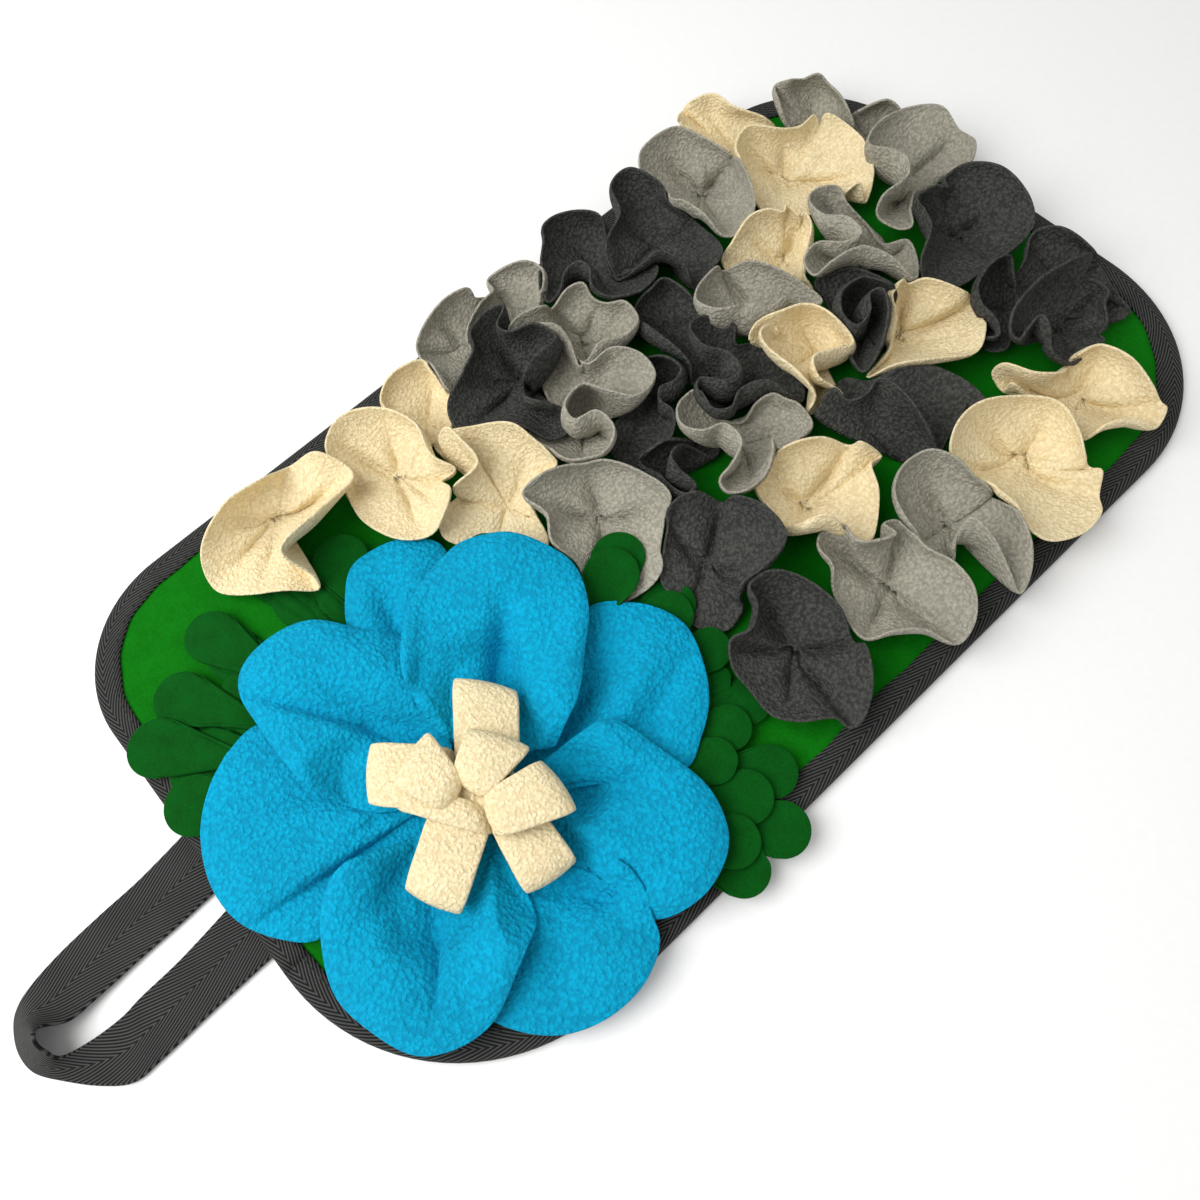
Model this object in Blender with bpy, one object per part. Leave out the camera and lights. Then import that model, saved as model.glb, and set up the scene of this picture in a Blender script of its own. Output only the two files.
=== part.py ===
"""A snuffle mat: a bound felt panel with a strap handle, a fleece flower and pinched fleece rosettes.

The mat lies on the ground. +Y runs along it to its far end, the handle is at -Y, +Z is up, and the
origin is on the panel's underside, midway between the edges. Sizes are in millimetres here and
become metres when a mesh is made.

Cloth was read from a photograph. A row (u, v, height) is a point of a cloth's edge: its pixel in
the photograph, which is 1200 pixels square, and its height above the ground. on_photo() turns it
into a place on the mat. Every piece opens like a fan from one sewn point to its edge.
"""

from itertools import combinations
from math import atan2, cos, hypot, pi, radians, sin

import bpy
import numpy as np

MM = 0.001

# The panel and its binding
MAT_WIDTH = 280.0
MAT_LENGTH = 491.0
CORNER_RADII = (92.0, 80.0, 68.0, 57.0)  # near right, far right, far left, near left
CORNER_STEPS = 6
PANEL_THICKNESS = 2.2
TAPE_THICKNESS = 0.95
BINDING_WIDTH = 12.0
GAP = 0.3
PANEL_LIFT = TAPE_THICKNESS + GAP  # of the panel's rim, above the tape folded under it
BINDING_TOP = PANEL_LIFT + PANEL_THICKNESS + GAP + TAPE_THICKNESS
LIFT_START = 26.0  # distances in from the edge, between which the panel rises
LIFT_END = 14.0

# The cloth
FLEECE_THICKNESS = 2.0
FELT_THICKNESS = 1.8
CLOTH_RADIUS = 42.0  # of the circle that each rosette is cut from
SEWN_HALF = 0.5  # half the thickness at the sewn point, where stitches squeeze the cloth
SEWN_HEIGHT = GAP + SEWN_HALF  # of a sewn point, above the panel
SEWN_MARGIN = 21.0  # least distance of a sewn point in from the mat's edge
SQUEEZED_SHARE = 0.4  # of the way out, up to where the cloth is squeezed
RISE = 1.4  # over 1, a rosette lies low near the sewn point and rises late
BOWL = 0.5  # how much further out a steep wall of a rosette runs before it rises
MOST_BELLY = 3.0
PETAL_ARCH = 4.0
MEETING_REACH = 6.0  # a rosette's edge this near its neighbour leans on it
EDGE_STEP = 15.0
TINY = 1e-9  # keeps a division from failing where a length is nothing
ROSETTE_RINGS = (0.5, 1.0)  # shares of the way out from the sewn point
PETAL_RINGS = (0.4, 0.75, 1.0)
LEAF_RINGS = (0.6, 1.0)
SLACK_SHARE = 0.375  # of a shallow arc: rise squared over chord times spare length
CLEARING_ROUNDS = 60
SEWN_STEP = 0.99  # of each step of a sewn point toward the middle of the mat
WIDEST_TURN = 75  # degrees, of a plane between two cloths from the line between sewn points
TURN_STEP = 15
TILT_STEP = 10
PLANE_PLACES = 13  # tried along that line
LEVEL = 0.5  # upward part of a plane's direction, over which a tongue moves only up or down past it
UNEVENNESS = 0.12  # of every second point, so that no two facets lie in one plane
EDGE_CLEARANCE = 2.0  # of cloth, above the binding
CLIMB_START = 22.0  # distance in from the edge, where cloth begins to climb over the binding
FLOWER_CENTRE = (480, 792)
FLOWER_CEILING = 10.9  # for petals, under the stamens
CEILING_RADIUS = 45.0
CEILING_SLOPE = 0.35  # beyond that radius

# The stamens
STAMEN_BASE = 13.6
STAMEN_LIFT = 9.5  # of an upper loop's strip, above the lower one
CORE_SIDES = 10
STAMEN_CORE = (  # radius, height: the bundle of cloth at the centre, sewn down to the panel
    (3.5, PANEL_THICKNESS + GAP),
    (3.5, STAMEN_BASE + 0.2),
    (11.0, STAMEN_BASE + 0.4),
    (11.0, STAMEN_BASE + STAMEN_LIFT + 8.5),
)

# The camera that took the photograph
CAMERA_PLACE = np.array((141.9, -129.9, 383.5))
CAMERA_HEADING = radians(-57.95)  # from +Y toward +X
CAMERA_TILT = radians(-68.86)
CAMERA_ROLL = radians(11.01)
CAMERA_FOCUS = 930.2  # in pixels
PHOTO_MIDDLE = 600

COLOURS = {  # linear red, green and blue, and roughness
    "cream": ((0.91, 0.72, 0.45), 0.95),
    "light_grey": ((0.27, 0.25, 0.22), 0.95),
    "dark_grey": ((0.065, 0.063, 0.060), 0.95),
    "blue": ((0.0, 0.34, 0.66), 0.95),
    "dark_green": ((0.0, 0.10, 0.012), 0.95),
    "bright_green": ((0.0, 0.24, 0.0), 0.95),
    "tape": ((0.055, 0.052, 0.050), 0.85),
}

# name: colour, sewn point (u, v), and the edge's rows (u, v, height) clockwise in the photograph
ROSETTES = {
    "rosette_01": (
        "cream", (283, 522), (
            (202, 555, 16), (222, 507, 28), (262, 480, 24), (290, 468, 12), (318, 453, 24),
            (353, 474, 18), (320, 510, 30), (281, 551, 34), (316, 578, 18), (320, 591, 10),
            (288, 590, 15), (217, 590, 8),
        ),
    ),
    "rosette_02": (
        "cream", (402, 483), (
            (326, 445, 22), (340, 418, 26), (378, 408, 28), (415, 424, 28), (432, 456, 24),
            (455, 469, 20), (442, 481, 14), (450, 490, 24), (444, 514, 22), (432, 534, 16),
            (400, 539, 14), (365, 522, 12), (350, 500, 10), (341, 480, 12),
        ),
    ),
    "rosette_03": (
        "cream", (428, 428), (
            (382, 402, 18), (388, 380, 24), (405, 366, 26), (424, 361, 24), (440, 380, 20),
            (452, 402, 14), (450, 428, 12), (430, 445, 10), (402, 425, 12),
        ),
    ),
    "rosette_04": (
        "cream", (508, 509), (
            (470, 548, 5), (444, 537, 8), (441, 512, 12), (458, 498, 9), (454, 487, 20),
            (478, 463, 26), (458, 437, 30), (447, 428, 30), (439, 440, 24), (446, 457, 14),
            (434, 446, 12), (436, 424, 18), (470, 428, 22), (512, 424, 30), (532, 438, 26),
            (557, 464, 18), (530, 482, 14), (528, 500, 14), (548, 545, 8), (520, 560, 5),
        ),
    ),
    "rosette_05": (
        "light_grey", (603, 523), (
            (523, 494, 24), (543, 474, 28), (575, 464, 24), (602, 460, 24), (640, 472, 24),
            (670, 495, 22), (661, 540, 12), (661, 572, 12), (640, 594, 8), (603, 604, 6),
            (577, 563, 14), (552, 541, 20), (547, 514, 22),
        ),
    ),
    "rosette_06": (
        "dark_grey", (706, 573), (
            (660, 575, 10), (667, 532, 14), (668, 508, 20), (695, 492, 22), (722, 503, 14),
            (733, 496, 24), (765, 507, 30), (786, 536, 30), (766, 565, 28), (740, 587, 26),
            (724, 615, 16), (706, 628, 10), (680, 610, 6),
        ),
    ),
    "rosette_07": (
        "dark_grey", (790, 655), (
            (749, 585, 28), (770, 571, 28), (800, 577, 26), (838, 606, 24), (853, 642, 14),
            (865, 645, 22), (872, 685, 20), (861, 722, 14), (850, 728, 12), (836, 718, 16),
            (800, 721, 18), (772, 715, 14), (750, 690, 12), (733, 668, 14), (731, 640, 20),
            (752, 628, 26), (757, 603, 28),
        ),
    ),
    "rosette_08": (
        "light_grey", (886, 594), (
            (818, 547, 20), (824, 529, 18), (840, 525, 22), (862, 542, 28), (896, 534, 26),
            (884, 524, 20), (903, 521, 18), (925, 547, 22), (955, 564, 24), (974, 590, 24),
            (973, 625, 22), (957, 644, 18), (925, 630, 22), (895, 631, 22), (866, 639, 16),
            (848, 622, 14), (833, 590, 14), (832, 565, 20),
        ),
    ),
    "rosette_09": (
        "light_grey", (945, 530), (
            (894, 490, 22), (903, 466, 26), (930, 450, 28), (958, 460, 26), (976, 479, 22),
            (993, 489, 20), (990, 497, 12), (1017, 511, 24), (1031, 545, 22), (1028, 580, 18),
            (1019, 594, 16), (1009, 572, 22), (992, 537, 30), (972, 517, 34), (958, 534, 26),
            (951, 561, 14), (925, 545, 16), (903, 515, 22),
        ),
    ),
    "rosette_10": (
        "cream", (1014, 469), (
            (951, 455, 20), (955, 428, 26), (975, 405, 28), (1010, 397, 26), (1058, 402, 26),
            (1077, 427, 26), (1085, 458, 22), (1088, 468, 16), (1101, 471, 22), (1098, 495, 14),
            (1101, 512, 18), (1085, 533, 18), (1050, 542, 18), (1030, 530, 20), (1012, 502, 22),
            (985, 483, 20), (968, 473, 12),
        ),
    ),
    "rosette_11": (
        "cream", (1072, 404), (
            (992, 374, 16), (1003, 364, 24), (1035, 373, 26), (1062, 373, 22), (1068, 366, 14),
            (1080, 354, 22), (1100, 345, 26), (1130, 358, 28), (1153, 388, 24), (1160, 403, 18),
            (1166, 408, 20), (1155, 428, 18), (1135, 419, 24), (1108, 424, 22), (1083, 440, 14),
            (1068, 430, 6), (1040, 405, 10), (1028, 396, 14), (1012, 383, 22), (1003, 392, 10),
        ),
    ),
    "rosette_12": (
        "cream", (803, 513), (
            (755, 487, 14), (768, 462, 20), (790, 445, 26), (822, 438, 28), (849, 446, 22),
            (860, 442, 28), (881, 457, 18), (871, 464, 22), (878, 492, 22), (870, 541, 14),
            (850, 536, 20), (828, 515, 32), (786, 528, 22), (770, 508, 14),
        ),
    ),
    "rosette_13": (
        "dark_grey", (900, 440), (
            (815, 417, 18), (829, 383, 28), (848, 401, 26), (866, 394, 28), (880, 379, 32),
            (908, 398, 36), (928, 430, 28), (938, 452, 16), (950, 432, 12), (966, 405, 18),
            (957, 402, 12), (997, 397, 20), (990, 372, 24), (975, 353, 24), (930, 355, 20),
            (895, 368, 20), (868, 382, 14), (845, 378, 12),
        ),
    ),
    "rosette_14": (
        "dark_grey", (1056, 334), (
            (1092, 256, 20), (1065, 264, 28), (1035, 284, 32), (1013, 312, 30), (1011, 334, 26),
            (1019, 340, 26), (1029, 327, 28), (1041, 315, 30), (1050, 328, 30), (1051, 350, 24),
            (1066, 363, 18), (1085, 357, 16), (1103, 341, 16), (1098, 334, 12), (1106, 325, 16),
            (1104, 303, 20), (1108, 291, 20), (1093, 280, 20), (1075, 281, 12),
        ),
    ),
    "rosette_15": (
        "cream", (896, 343), (
            (892, 294, 26), (903, 280, 28), (908, 284, 22), (925, 279, 26), (962, 291, 24),
            (978, 301, 16), (985, 330, 22), (976, 352, 20), (935, 359, 22), (900, 365, 22),
            (867, 378, 14), (882, 352, 18), (889, 320, 22),
        ),
    ),
    "rosette_16": (
        "dark_grey", (862, 330), (
            (893, 286, 30), (865, 277, 30), (842, 292, 30), (843, 316, 28), (858, 326, 26),
            (870, 310, 28), (870, 293, 30), (882, 289, 32), (888, 305, 30), (880, 348, 26),
            (864, 372, 20), (851, 358, 18), (836, 330, 10), (826, 300, 12), (815, 283, 16),
            (850, 268, 20),
        ),
    ),
    "rosette_17": (
        "dark_grey", (953, 243), (
            (917, 198, 28), (935, 186, 30), (947, 188, 26), (945, 178, 22), (965, 165, 26),
            (1000, 167, 28), (1028, 195, 26), (1033, 225, 20), (1005, 255, 20), (984, 270, 18),
            (955, 288, 14), (925, 282, 18), (921, 262, 24), (931, 228, 30), (925, 212, 28),
        ),
    ),
    "rosette_18": (
        "light_grey", (910, 192), (
            (868, 140, 28), (880, 122, 26), (912, 108, 24), (942, 108, 26), (958, 130, 20),
            (975, 142, 22), (970, 162, 18), (935, 178, 12), (921, 190, 16), (917, 205, 20),
            (918, 222, 22), (905, 240, 26), (885, 238, 28), (873, 218, 28), (884, 198, 30),
            (908, 175, 32), (905, 157, 32), (888, 149, 32), (872, 146, 30),
        ),
    ),
    "rosette_19": (
        "light_grey", (815, 122), (
            (775, 87, 22), (790, 81, 26), (803, 80, 22), (818, 74, 26), (828, 84, 22), (845, 104, 24),
            (853, 130, 16), (835, 140, 8), (805, 140, 6), (788, 125, 12), (779, 103, 20),
        ),
    ),
    "rosette_20": (
        "cream", (742, 138), (
            (678, 120, 20), (683, 112, 14), (690, 103, 22), (712, 94, 26), (735, 108, 24),
            (765, 119, 18), (775, 130, 10), (745, 150, 8), (715, 148, 12), (698, 136, 16),
            (682, 126, 16),
        ),
    ),
    "rosette_21": (
        "cream", (786, 184), (
            (736, 145, 26), (748, 127, 28), (780, 129, 26), (800, 127, 24), (815, 116, 24),
            (820, 132, 16), (825, 115, 24), (848, 127, 22), (872, 155, 22), (879, 185, 18),
            (873, 206, 14), (862, 183, 26), (847, 192, 22), (840, 208, 10), (800, 216, 8),
            (765, 214, 8), (752, 195, 14),
        ),
    ),
    "rosette_22": (
        "light_grey", (702, 201), (
            (641, 172, 22), (642, 150, 26), (675, 128, 28), (702, 138, 26), (731, 157, 20),
            (727, 165, 12), (737, 158, 24), (751, 185, 26), (754, 210, 22), (738, 234, 20),
            (724, 238, 22), (706, 217, 28), (685, 202, 30), (672, 200, 28), (652, 182, 20),
        ),
    ),
    "rosette_23": (
        "dark_grey", (655, 248), (
            (611, 185, 30), (628, 169, 32), (655, 180, 30), (680, 208, 22), (697, 224, 14),
            (722, 252, 22), (712, 270, 18), (694, 290, 16), (686, 268, 28), (660, 251, 34),
            (640, 266, 24), (617, 280, 14), (606, 245, 20), (620, 212, 26),
        ),
    ),
    "rosette_24": (
        "cream", (783, 272), (
            (722, 262, 14), (732, 243, 20), (750, 217, 26), (768, 210, 28), (784, 212, 26),
            (786, 206, 26), (799, 217, 22), (797, 230, 14), (804, 212, 24), (811, 224, 22),
            (806, 252, 18), (803, 272, 14), (812, 292, 8), (790, 300, 4), (750, 290, 5),
        ),
    ),
    "rosette_25": (
        "light_grey", (865, 258), (
            (846, 203, 20), (838, 188, 24), (818, 189, 26), (809, 199, 28), (822, 214, 30),
            (848, 218, 32), (861, 234, 32), (845, 242, 30), (816, 244, 26), (804, 262, 24),
            (812, 277, 24), (832, 262, 30), (862, 247, 34), (893, 259, 30), (914, 280, 22),
            (917, 262, 16), (907, 241, 18), (884, 245, 16), (866, 225, 12),
        ),
    ),
    "rosette_26": (
        "light_grey", (750, 335), (
            (696, 300, 28), (700, 284, 26), (718, 267, 24), (723, 272, 18), (750, 262, 26),
            (790, 276, 24), (822, 302, 18), (800, 308, 20), (786, 297, 28), (772, 306, 28),
            (745, 305, 32), (715, 309, 32),
        ),
    ),
    "rosette_27": (
        "cream", (815, 355), (
            (749, 340, 20), (757, 322, 24), (780, 312, 28), (808, 304, 28), (835, 318, 28),
            (853, 343, 22), (832, 350, 26), (813, 358, 30), (818, 376, 26), (842, 396, 14),
            (825, 408, 8), (807, 414, 16), (815, 396, 24), (795, 370, 30), (765, 345, 28),
            (760, 333, 30), (768, 326, 28), (778, 334, 20), (770, 320, 18),
        ),
    ),
    "rosette_28": (
        "dark_grey", (668, 335), (
            (637, 305, 18), (648, 291, 24), (664, 279, 24), (690, 296, 24), (698, 310, 18),
            (704, 330, 12), (712, 352, 10), (706, 382, 10), (692, 384, 14), (690, 365, 22),
            (680, 352, 26), (660, 336, 26), (640, 323, 22), (630, 335, 10),
        ),
    ),
    "rosette_29": (
        "dark_grey", (735, 395), (
            (735, 345, 16), (734, 324, 22), (712, 315, 26), (690, 325, 30), (703, 345, 30),
            (728, 353, 30), (741, 370, 30), (728, 380, 30), (700, 379, 28), (697, 390, 28),
            (714, 409, 28), (731, 408, 28), (741, 389, 28), (768, 381, 30), (790, 398, 24),
            (803, 400, 14), (800, 380, 12), (770, 360, 10), (755, 345, 12),
        ),
    ),
    "rosette_30": (
        "light_grey", (742, 447), (
            (677, 410, 24), (683, 426, 28), (703, 431, 30), (725, 424, 30), (741, 440, 30),
            (733, 463, 28), (720, 480, 24), (726, 492, 22), (745, 491, 24), (766, 473, 26),
            (773, 448, 28), (772, 440, 28), (780, 450, 16), (800, 438, 20), (812, 426, 20),
            (803, 409, 22), (776, 392, 24), (757, 403, 20), (742, 423, 14), (720, 418, 14),
            (697, 391, 22), (684, 398, 22),
        ),
    ),
    "rosette_31": (
        "light_grey", (585, 425), (
            (655, 376, 28), (637, 396, 30), (605, 390, 32), (583, 384, 32), (565, 405, 32),
            (574, 420, 30), (596, 411, 30), (614, 428, 30), (606, 451, 26), (575, 461, 24),
            (545, 447, 20), (530, 433, 14), (540, 420, 10), (548, 402, 12), (540, 378, 13),
            (548, 354, 14), (568, 352, 16), (588, 364, 24), (612, 348, 28), (640, 354, 28),
        ),
    ),
    "rosette_32": (
        "dark_grey", (527, 388), (
            (449, 402, 20), (463, 372, 24), (474, 348, 26), (470, 333, 28), (485, 313, 30),
            (504, 306, 28), (497, 326, 28), (510, 332, 30), (535, 324, 32), (556, 338, 32),
            (535, 358, 34), (523, 378, 34), (526, 397, 32), (548, 404, 28), (564, 411, 22),
            (569, 430, 18), (552, 440, 18), (512, 423, 22), (468, 435, 18), (451, 420, 18),
        ),
    ),
    "rosette_33": (
        "light_grey", (478, 352), (
            (417, 345, 20), (425, 325, 24), (445, 300, 26), (468, 289, 24), (475, 298, 18),
            (490, 300, 10), (500, 330, 8), (480, 365, 8), (450, 393, 16), (436, 374, 22),
            (420, 357, 20),
        ),
    ),
    "rosette_34": (
        "light_grey", (515, 315), (
            (488, 280, 18), (505, 268, 22), (524, 262, 24), (538, 266, 22), (544, 274, 22),
            (540, 300, 14), (530, 318, 8), (500, 340, 6), (474, 352, 14), (467, 335, 20),
            (480, 305, 24), (493, 291, 22),
        ),
    ),
    "rosette_35": (
        "light_grey", (583, 350), (
            (509, 330, 20), (520, 316, 24), (545, 306, 26), (552, 309, 20), (568, 289, 26),
            (583, 284, 28), (592, 298, 24), (605, 304, 24), (625, 302, 26), (638, 320, 26),
            (625, 336, 26), (600, 343, 28), (587, 362, 22), (580, 367, 22), (568, 338, 28),
            (555, 325, 26), (530, 325, 18),
        ),
    ),
    "rosette_36": (
        "dark_grey", (655, 400), (
            (645, 362, 20), (665, 357, 26), (681, 368, 26), (676, 380, 24), (660, 388, 26),
            (660, 400, 24), (674, 412, 22), (672, 435, 16), (655, 462, 9), (628, 468, 8),
            (610, 448, 8), (618, 420, 9), (640, 395, 10),
        ),
    ),
    "rosette_37": (
        "dark_grey", (596, 272), (
            (541, 262, 22), (544, 240, 24), (543, 227, 26), (560, 214, 28), (598, 215, 26),
            (606, 236, 20), (615, 276, 14), (640, 270, 16), (657, 266, 22), (655, 284, 26),
            (640, 296, 28), (605, 297, 30), (592, 286, 32), (589, 268, 32), (580, 262, 32),
            (566, 271, 30), (560, 290, 24), (548, 302, 14), (541, 290, 16),
        ),
    ),
    "rosette_38": (
        "dark_grey", (1062, 285), (
            (1034, 232, 20), (1060, 228, 24), (1092, 250, 20), (1100, 270, 8), (1118, 297, 14),
            (1129, 313, 10), (1112, 323, 6), (1085, 320, 5), (1050, 310, 6), (1020, 300, 8),
            (1012, 285, 12), (1024, 262, 16),
        ),
    ),
    "rosette_39": (
        "dark_grey", (1003, 312), (
            (1010, 257, 26), (992, 263, 30), (978, 285, 28), (981, 304, 26), (996, 320, 24),
            (998, 336, 22), (986, 338, 20), (975, 330, 10), (985, 350, 10), (1005, 350, 12),
            (1012, 330, 14), (1016, 300, 12), (1013, 275, 20),
        ),
    ),
    "rosette_40": (
        "light_grey", (880, 135), (
            (853, 116, 16), (868, 107, 22), (888, 101, 24), (899, 111, 20), (892, 125, 12),
            (870, 140, 8), (860, 135, 10),
        ),
    ),
    "rosette_41": (
        "dark_grey", (672, 480), (
            (690, 441, 18), (665, 441, 26), (650, 450, 24), (640, 463, 14), (660, 476, 18),
            (674, 489, 20), (689, 494, 20), (695, 485, 22), (680, 470, 26), (671, 457, 28),
            (677, 447, 26), (692, 449, 16), (715, 456, 8), (722, 441, 8), (702, 436, 12),
        ),
    ),
}

# name: colour, sewn point (u, v, lift over the panel), edge rows (u, v, height) from side to side
PETALS = {
    "petal_upper_top": (
        "blue", (492, 762, 3.2), (
            (450, 738, 11), (426, 720, 13), (404, 676, 14), (402, 640, 13), (412, 600, 12),
            (432, 571, 12), (458, 545, 13), (482, 536, 14), (510, 533, 15), (545, 545, 14),
            (574, 566, 13), (588, 607, 14), (584, 650, 14), (576, 700, 14), (553, 742, 12),
        ),
    ),
    "petal_lower_top": (
        "blue", (476, 762, 0), (
            (446, 736, 7), (405, 690, 7.5), (375, 660, 8), (350, 632, 9), (346, 600, 11),
            (352, 568, 12), (375, 550, 11), (405, 539, 11), (440, 545, 9), (455, 580, 7.5),
            (470, 650, 7.5), (482, 700, 7.5),
        ),
    ),
    "petal_upper_left": (
        "blue", (458, 784, 3.2), (
            (452, 745, 12), (432, 690, 13), (402, 637, 15), (365, 632, 13), (310, 621, 12),
            (268, 640, 12), (243, 668, 12), (240, 692, 11), (258, 724, 12), (300, 778, 14),
            (335, 800, 14), (372, 809, 14), (430, 800, 12),
        ),
    ),
    "petal_lower_left": (
        "blue", (462, 800, 0), (
            (310, 745, 7.5), (260, 725, 8), (230, 752, 9), (208, 795, 10),
            (202, 838, 10), (212, 885, 10), (238, 920, 10), (280, 938, 9), (320, 938, 8.5),
        ),
    ),
    "petal_upper_bottom": (
        "blue", (478, 812, 3.2), (
            (430, 822, 12), (385, 848, 14), (340, 868, 15), (324, 900, 13), (322, 940, 11),
            (336, 995, 10), (368, 1028, 10), (415, 1054, 9.5), (455, 1048, 9.5), (492, 1022, 11),
            (516, 972, 14), (533, 920, 15), (518, 880, 13),
        ),
    ),
    "petal_lower_bottom": (
        "blue", (494, 808, 0), (
            (480, 900, 7.5), (470, 960, 7.5), (485, 1012, 9), (520, 1030, 10), (565, 1033, 10),
            (610, 1015, 11), (645, 980, 12), (659, 940, 12), (652, 915, 12), (641, 880, 12),
        ),
    ),
    "petal_upper_right": (
        "blue", (508, 796, 3.2), (
            (518, 880, 11), (560, 892, 12), (610, 905, 13), (652, 918, 14), (700, 897, 13),
            (724, 860, 13), (727, 830, 13), (708, 788, 13), (665, 753, 14), (615, 721, 16),
            (600, 722, 16), (560, 742, 14), (528, 768, 12),
        ),
    ),
    "petal_lower_right": (
        "blue", (502, 772, 0), (
            (590, 608, 9), (625, 603, 11),
            (655, 608, 12), (685, 626, 13), (703, 665, 13), (708, 702, 12), (700, 738, 11),
            (686, 768, 10), (620, 780, 7.5), (560, 790, 7.5),
        ),
    ),
}

LEAVES = {
    "leaf_left": (
        "dark_green", (290, 715, 0), (
            (275, 640, 5), (240, 617, 6), (210, 610, 7), (191, 620, 7), (188, 636, 6), (199, 656, 5),
            (175, 676, 6), (155, 695, 6.5), (160, 713, 6.5), (172, 722, 6), (141, 726, 7.5),
            (130, 748, 8.5), (140, 768, 8), (176, 778, 6), (166, 802, 8), (179, 827, 8), (201, 834, 7),
            (212, 815, 5),
        ),
    ),
    "leaf_upper_left": (
        "dark_green", (385, 612, 0), (
            (250, 600, 5), (268, 591, 5.5), (300, 592, 5.5), (320, 598, 5), (315, 562, 8),
            (332, 540, 9), (357, 534, 8), (368, 550, 5), (376, 545, 6), (396, 541, 6), (430, 548, 5),
        ),
    ),
    "leaf_top": (
        "dark_green", (545, 640, 0), (
            (460, 550, 5), (475, 537, 6), (500, 534, 6), (540, 552, 5), (580, 566, 5), (595, 548, 9),
            (615, 532, 10), (638, 540, 9.5), (645, 556, 8.5), (640, 578, 6), (625, 600, 5),
        ),
    ),
    "leaf_upper_right": (
        "dark_green", (640, 660, 0), (
            (630, 605, 5), (634, 596, 6), (655, 585, 8), (675, 581, 9), (692, 590, 9), (697, 605, 8),
            (690, 628, 6),
        ),
    ),
    "leaf_right": (
        "dark_green", (655, 710, 0), (
            (690, 628, 5.5), (705, 628, 7), (724, 634, 7.5), (733, 650, 7.5), (728, 668, 6.5),
            (740, 678, 7), (760, 686, 8), (769, 704, 8), (762, 719, 7), (750, 728, 6), (748, 745, 7),
            (737, 755, 7), (735, 770, 7), (724, 783, 6.5), (700, 785, 5.5),
        ),
    ),
    "leaf_lower_right": (
        "dark_green", (670, 810, 0), (
            (735, 752, 5.5), (752, 746, 7), (775, 746, 9), (793, 758, 9.5), (796, 775, 9),
            (785, 795, 9), (800, 805, 10), (811, 828, 10), (800, 852, 9.5), (776, 859, 8.5),
            (768, 868, 8.5), (770, 885, 9), (758, 896, 9), (735, 897, 8.5), (712, 888, 7),
        ),
    ),
}

# name: base height, the strip's two edges at the centre (u, v), and at the outer fold (u, v)
STAMEN_LOOPS = {
    "top": (0.0, (455, 775), (520, 765), (452, 680), (519, 694)),
    "right_low": (0.0, (535, 800), (486, 822), (577, 858), (524, 893)),
    "bottom_left": (0.0, (500, 800), (436, 790), (463, 913), (404, 886)),
    "left": (0.0, (450, 812), (448, 745), (371, 806), (373, 742)),
    "top_right": (STAMEN_LIFT, (452, 768), (488, 796), (466, 730), (531, 750)),
    "right": (STAMEN_LIFT, (486, 790), (503, 838), (538, 760), (576, 812)),
    "top_left": (STAMEN_LIFT, (440, 812), (462, 775), (394, 786), (430, 732)),
}

# The handle's strap: its outer edge and its inner edge, as (u, v, height), from end to end
HANDLE_ROWS = (
    ((184, 834, 1.6), (214, 893, 1.6)),
    ((140, 879, 1.6), (183, 922, 1.6)),
    ((100, 915, 2.0), (142, 958, 2.0)),
    ((60, 953, 3.0), (100, 996, 3.5)),
    ((33, 983, 6.0), (68, 1022, 7.0)),
    ((20, 1003, 5.0), (42, 1027, 14.0)),
    ((15, 1022, 1.5), (34, 1032, 20.0)),
    ((18, 1048, 1.5), (36, 1043, 20.0)),
    ((32, 1070, 3.0), (46, 1051, 16.0)),
    ((60, 1080, 3.0), (60, 1056, 8.0)),
    ((100, 1086, 2.0), (90, 1041, 3.5)),
    ((136, 1082, 1.6), (122, 1017, 2.0)),
    ((160, 1062, 1.6), (140, 998, 1.6)),
    ((215, 1010, 1.6), (180, 960, 1.6)),
    ((272, 958, 1.6), (232, 904, 1.6)),
)


def camera_axes():
    """The camera's right, down and forward directions."""
    forward = np.array((
        sin(CAMERA_HEADING) * cos(CAMERA_TILT),
        cos(CAMERA_HEADING) * cos(CAMERA_TILT),
        sin(CAMERA_TILT),
    ))
    level = np.array((cos(CAMERA_HEADING), -sin(CAMERA_HEADING), 0.0))
    right = cos(CAMERA_ROLL) * level + sin(CAMERA_ROLL) * np.cross(forward, level)
    return right, np.cross(forward, right), forward


def on_photo(u, v, height):
    """The place seen at pixel (u, v), at this height above the ground."""
    right, down, forward = camera_axes()
    sight = forward * CAMERA_FOCUS + right * (u - PHOTO_MIDDLE) + down * (v - PHOTO_MIDDLE)
    return CAMERA_PLACE + sight * (height - CAMERA_PLACE[2]) / sight[2]


def corner_centres():
    """(x, y, radius, first angle) of the four rounded corners, going round anticlockwise."""
    signs = ((1, -1, -pi / 2), (1, 1, 0.0), (-1, 1, pi / 2), (-1, -1, pi))
    for radius, (side, end, start) in zip(CORNER_RADII, signs):
        yield side * (MAT_WIDTH / 2 - radius), end * (MAT_LENGTH / 2 - radius), radius, start


def outline(inset, height):
    """The mat's outline, this far in from the edge."""
    points = []
    for x, y, radius, start in corner_centres():
        for step in range(CORNER_STEPS):
            angle = start + step / (CORNER_STEPS - 1) * pi / 2
            reach = radius - inset
            points.append((x + reach * cos(angle), y + reach * sin(angle), height))
    return points


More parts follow.
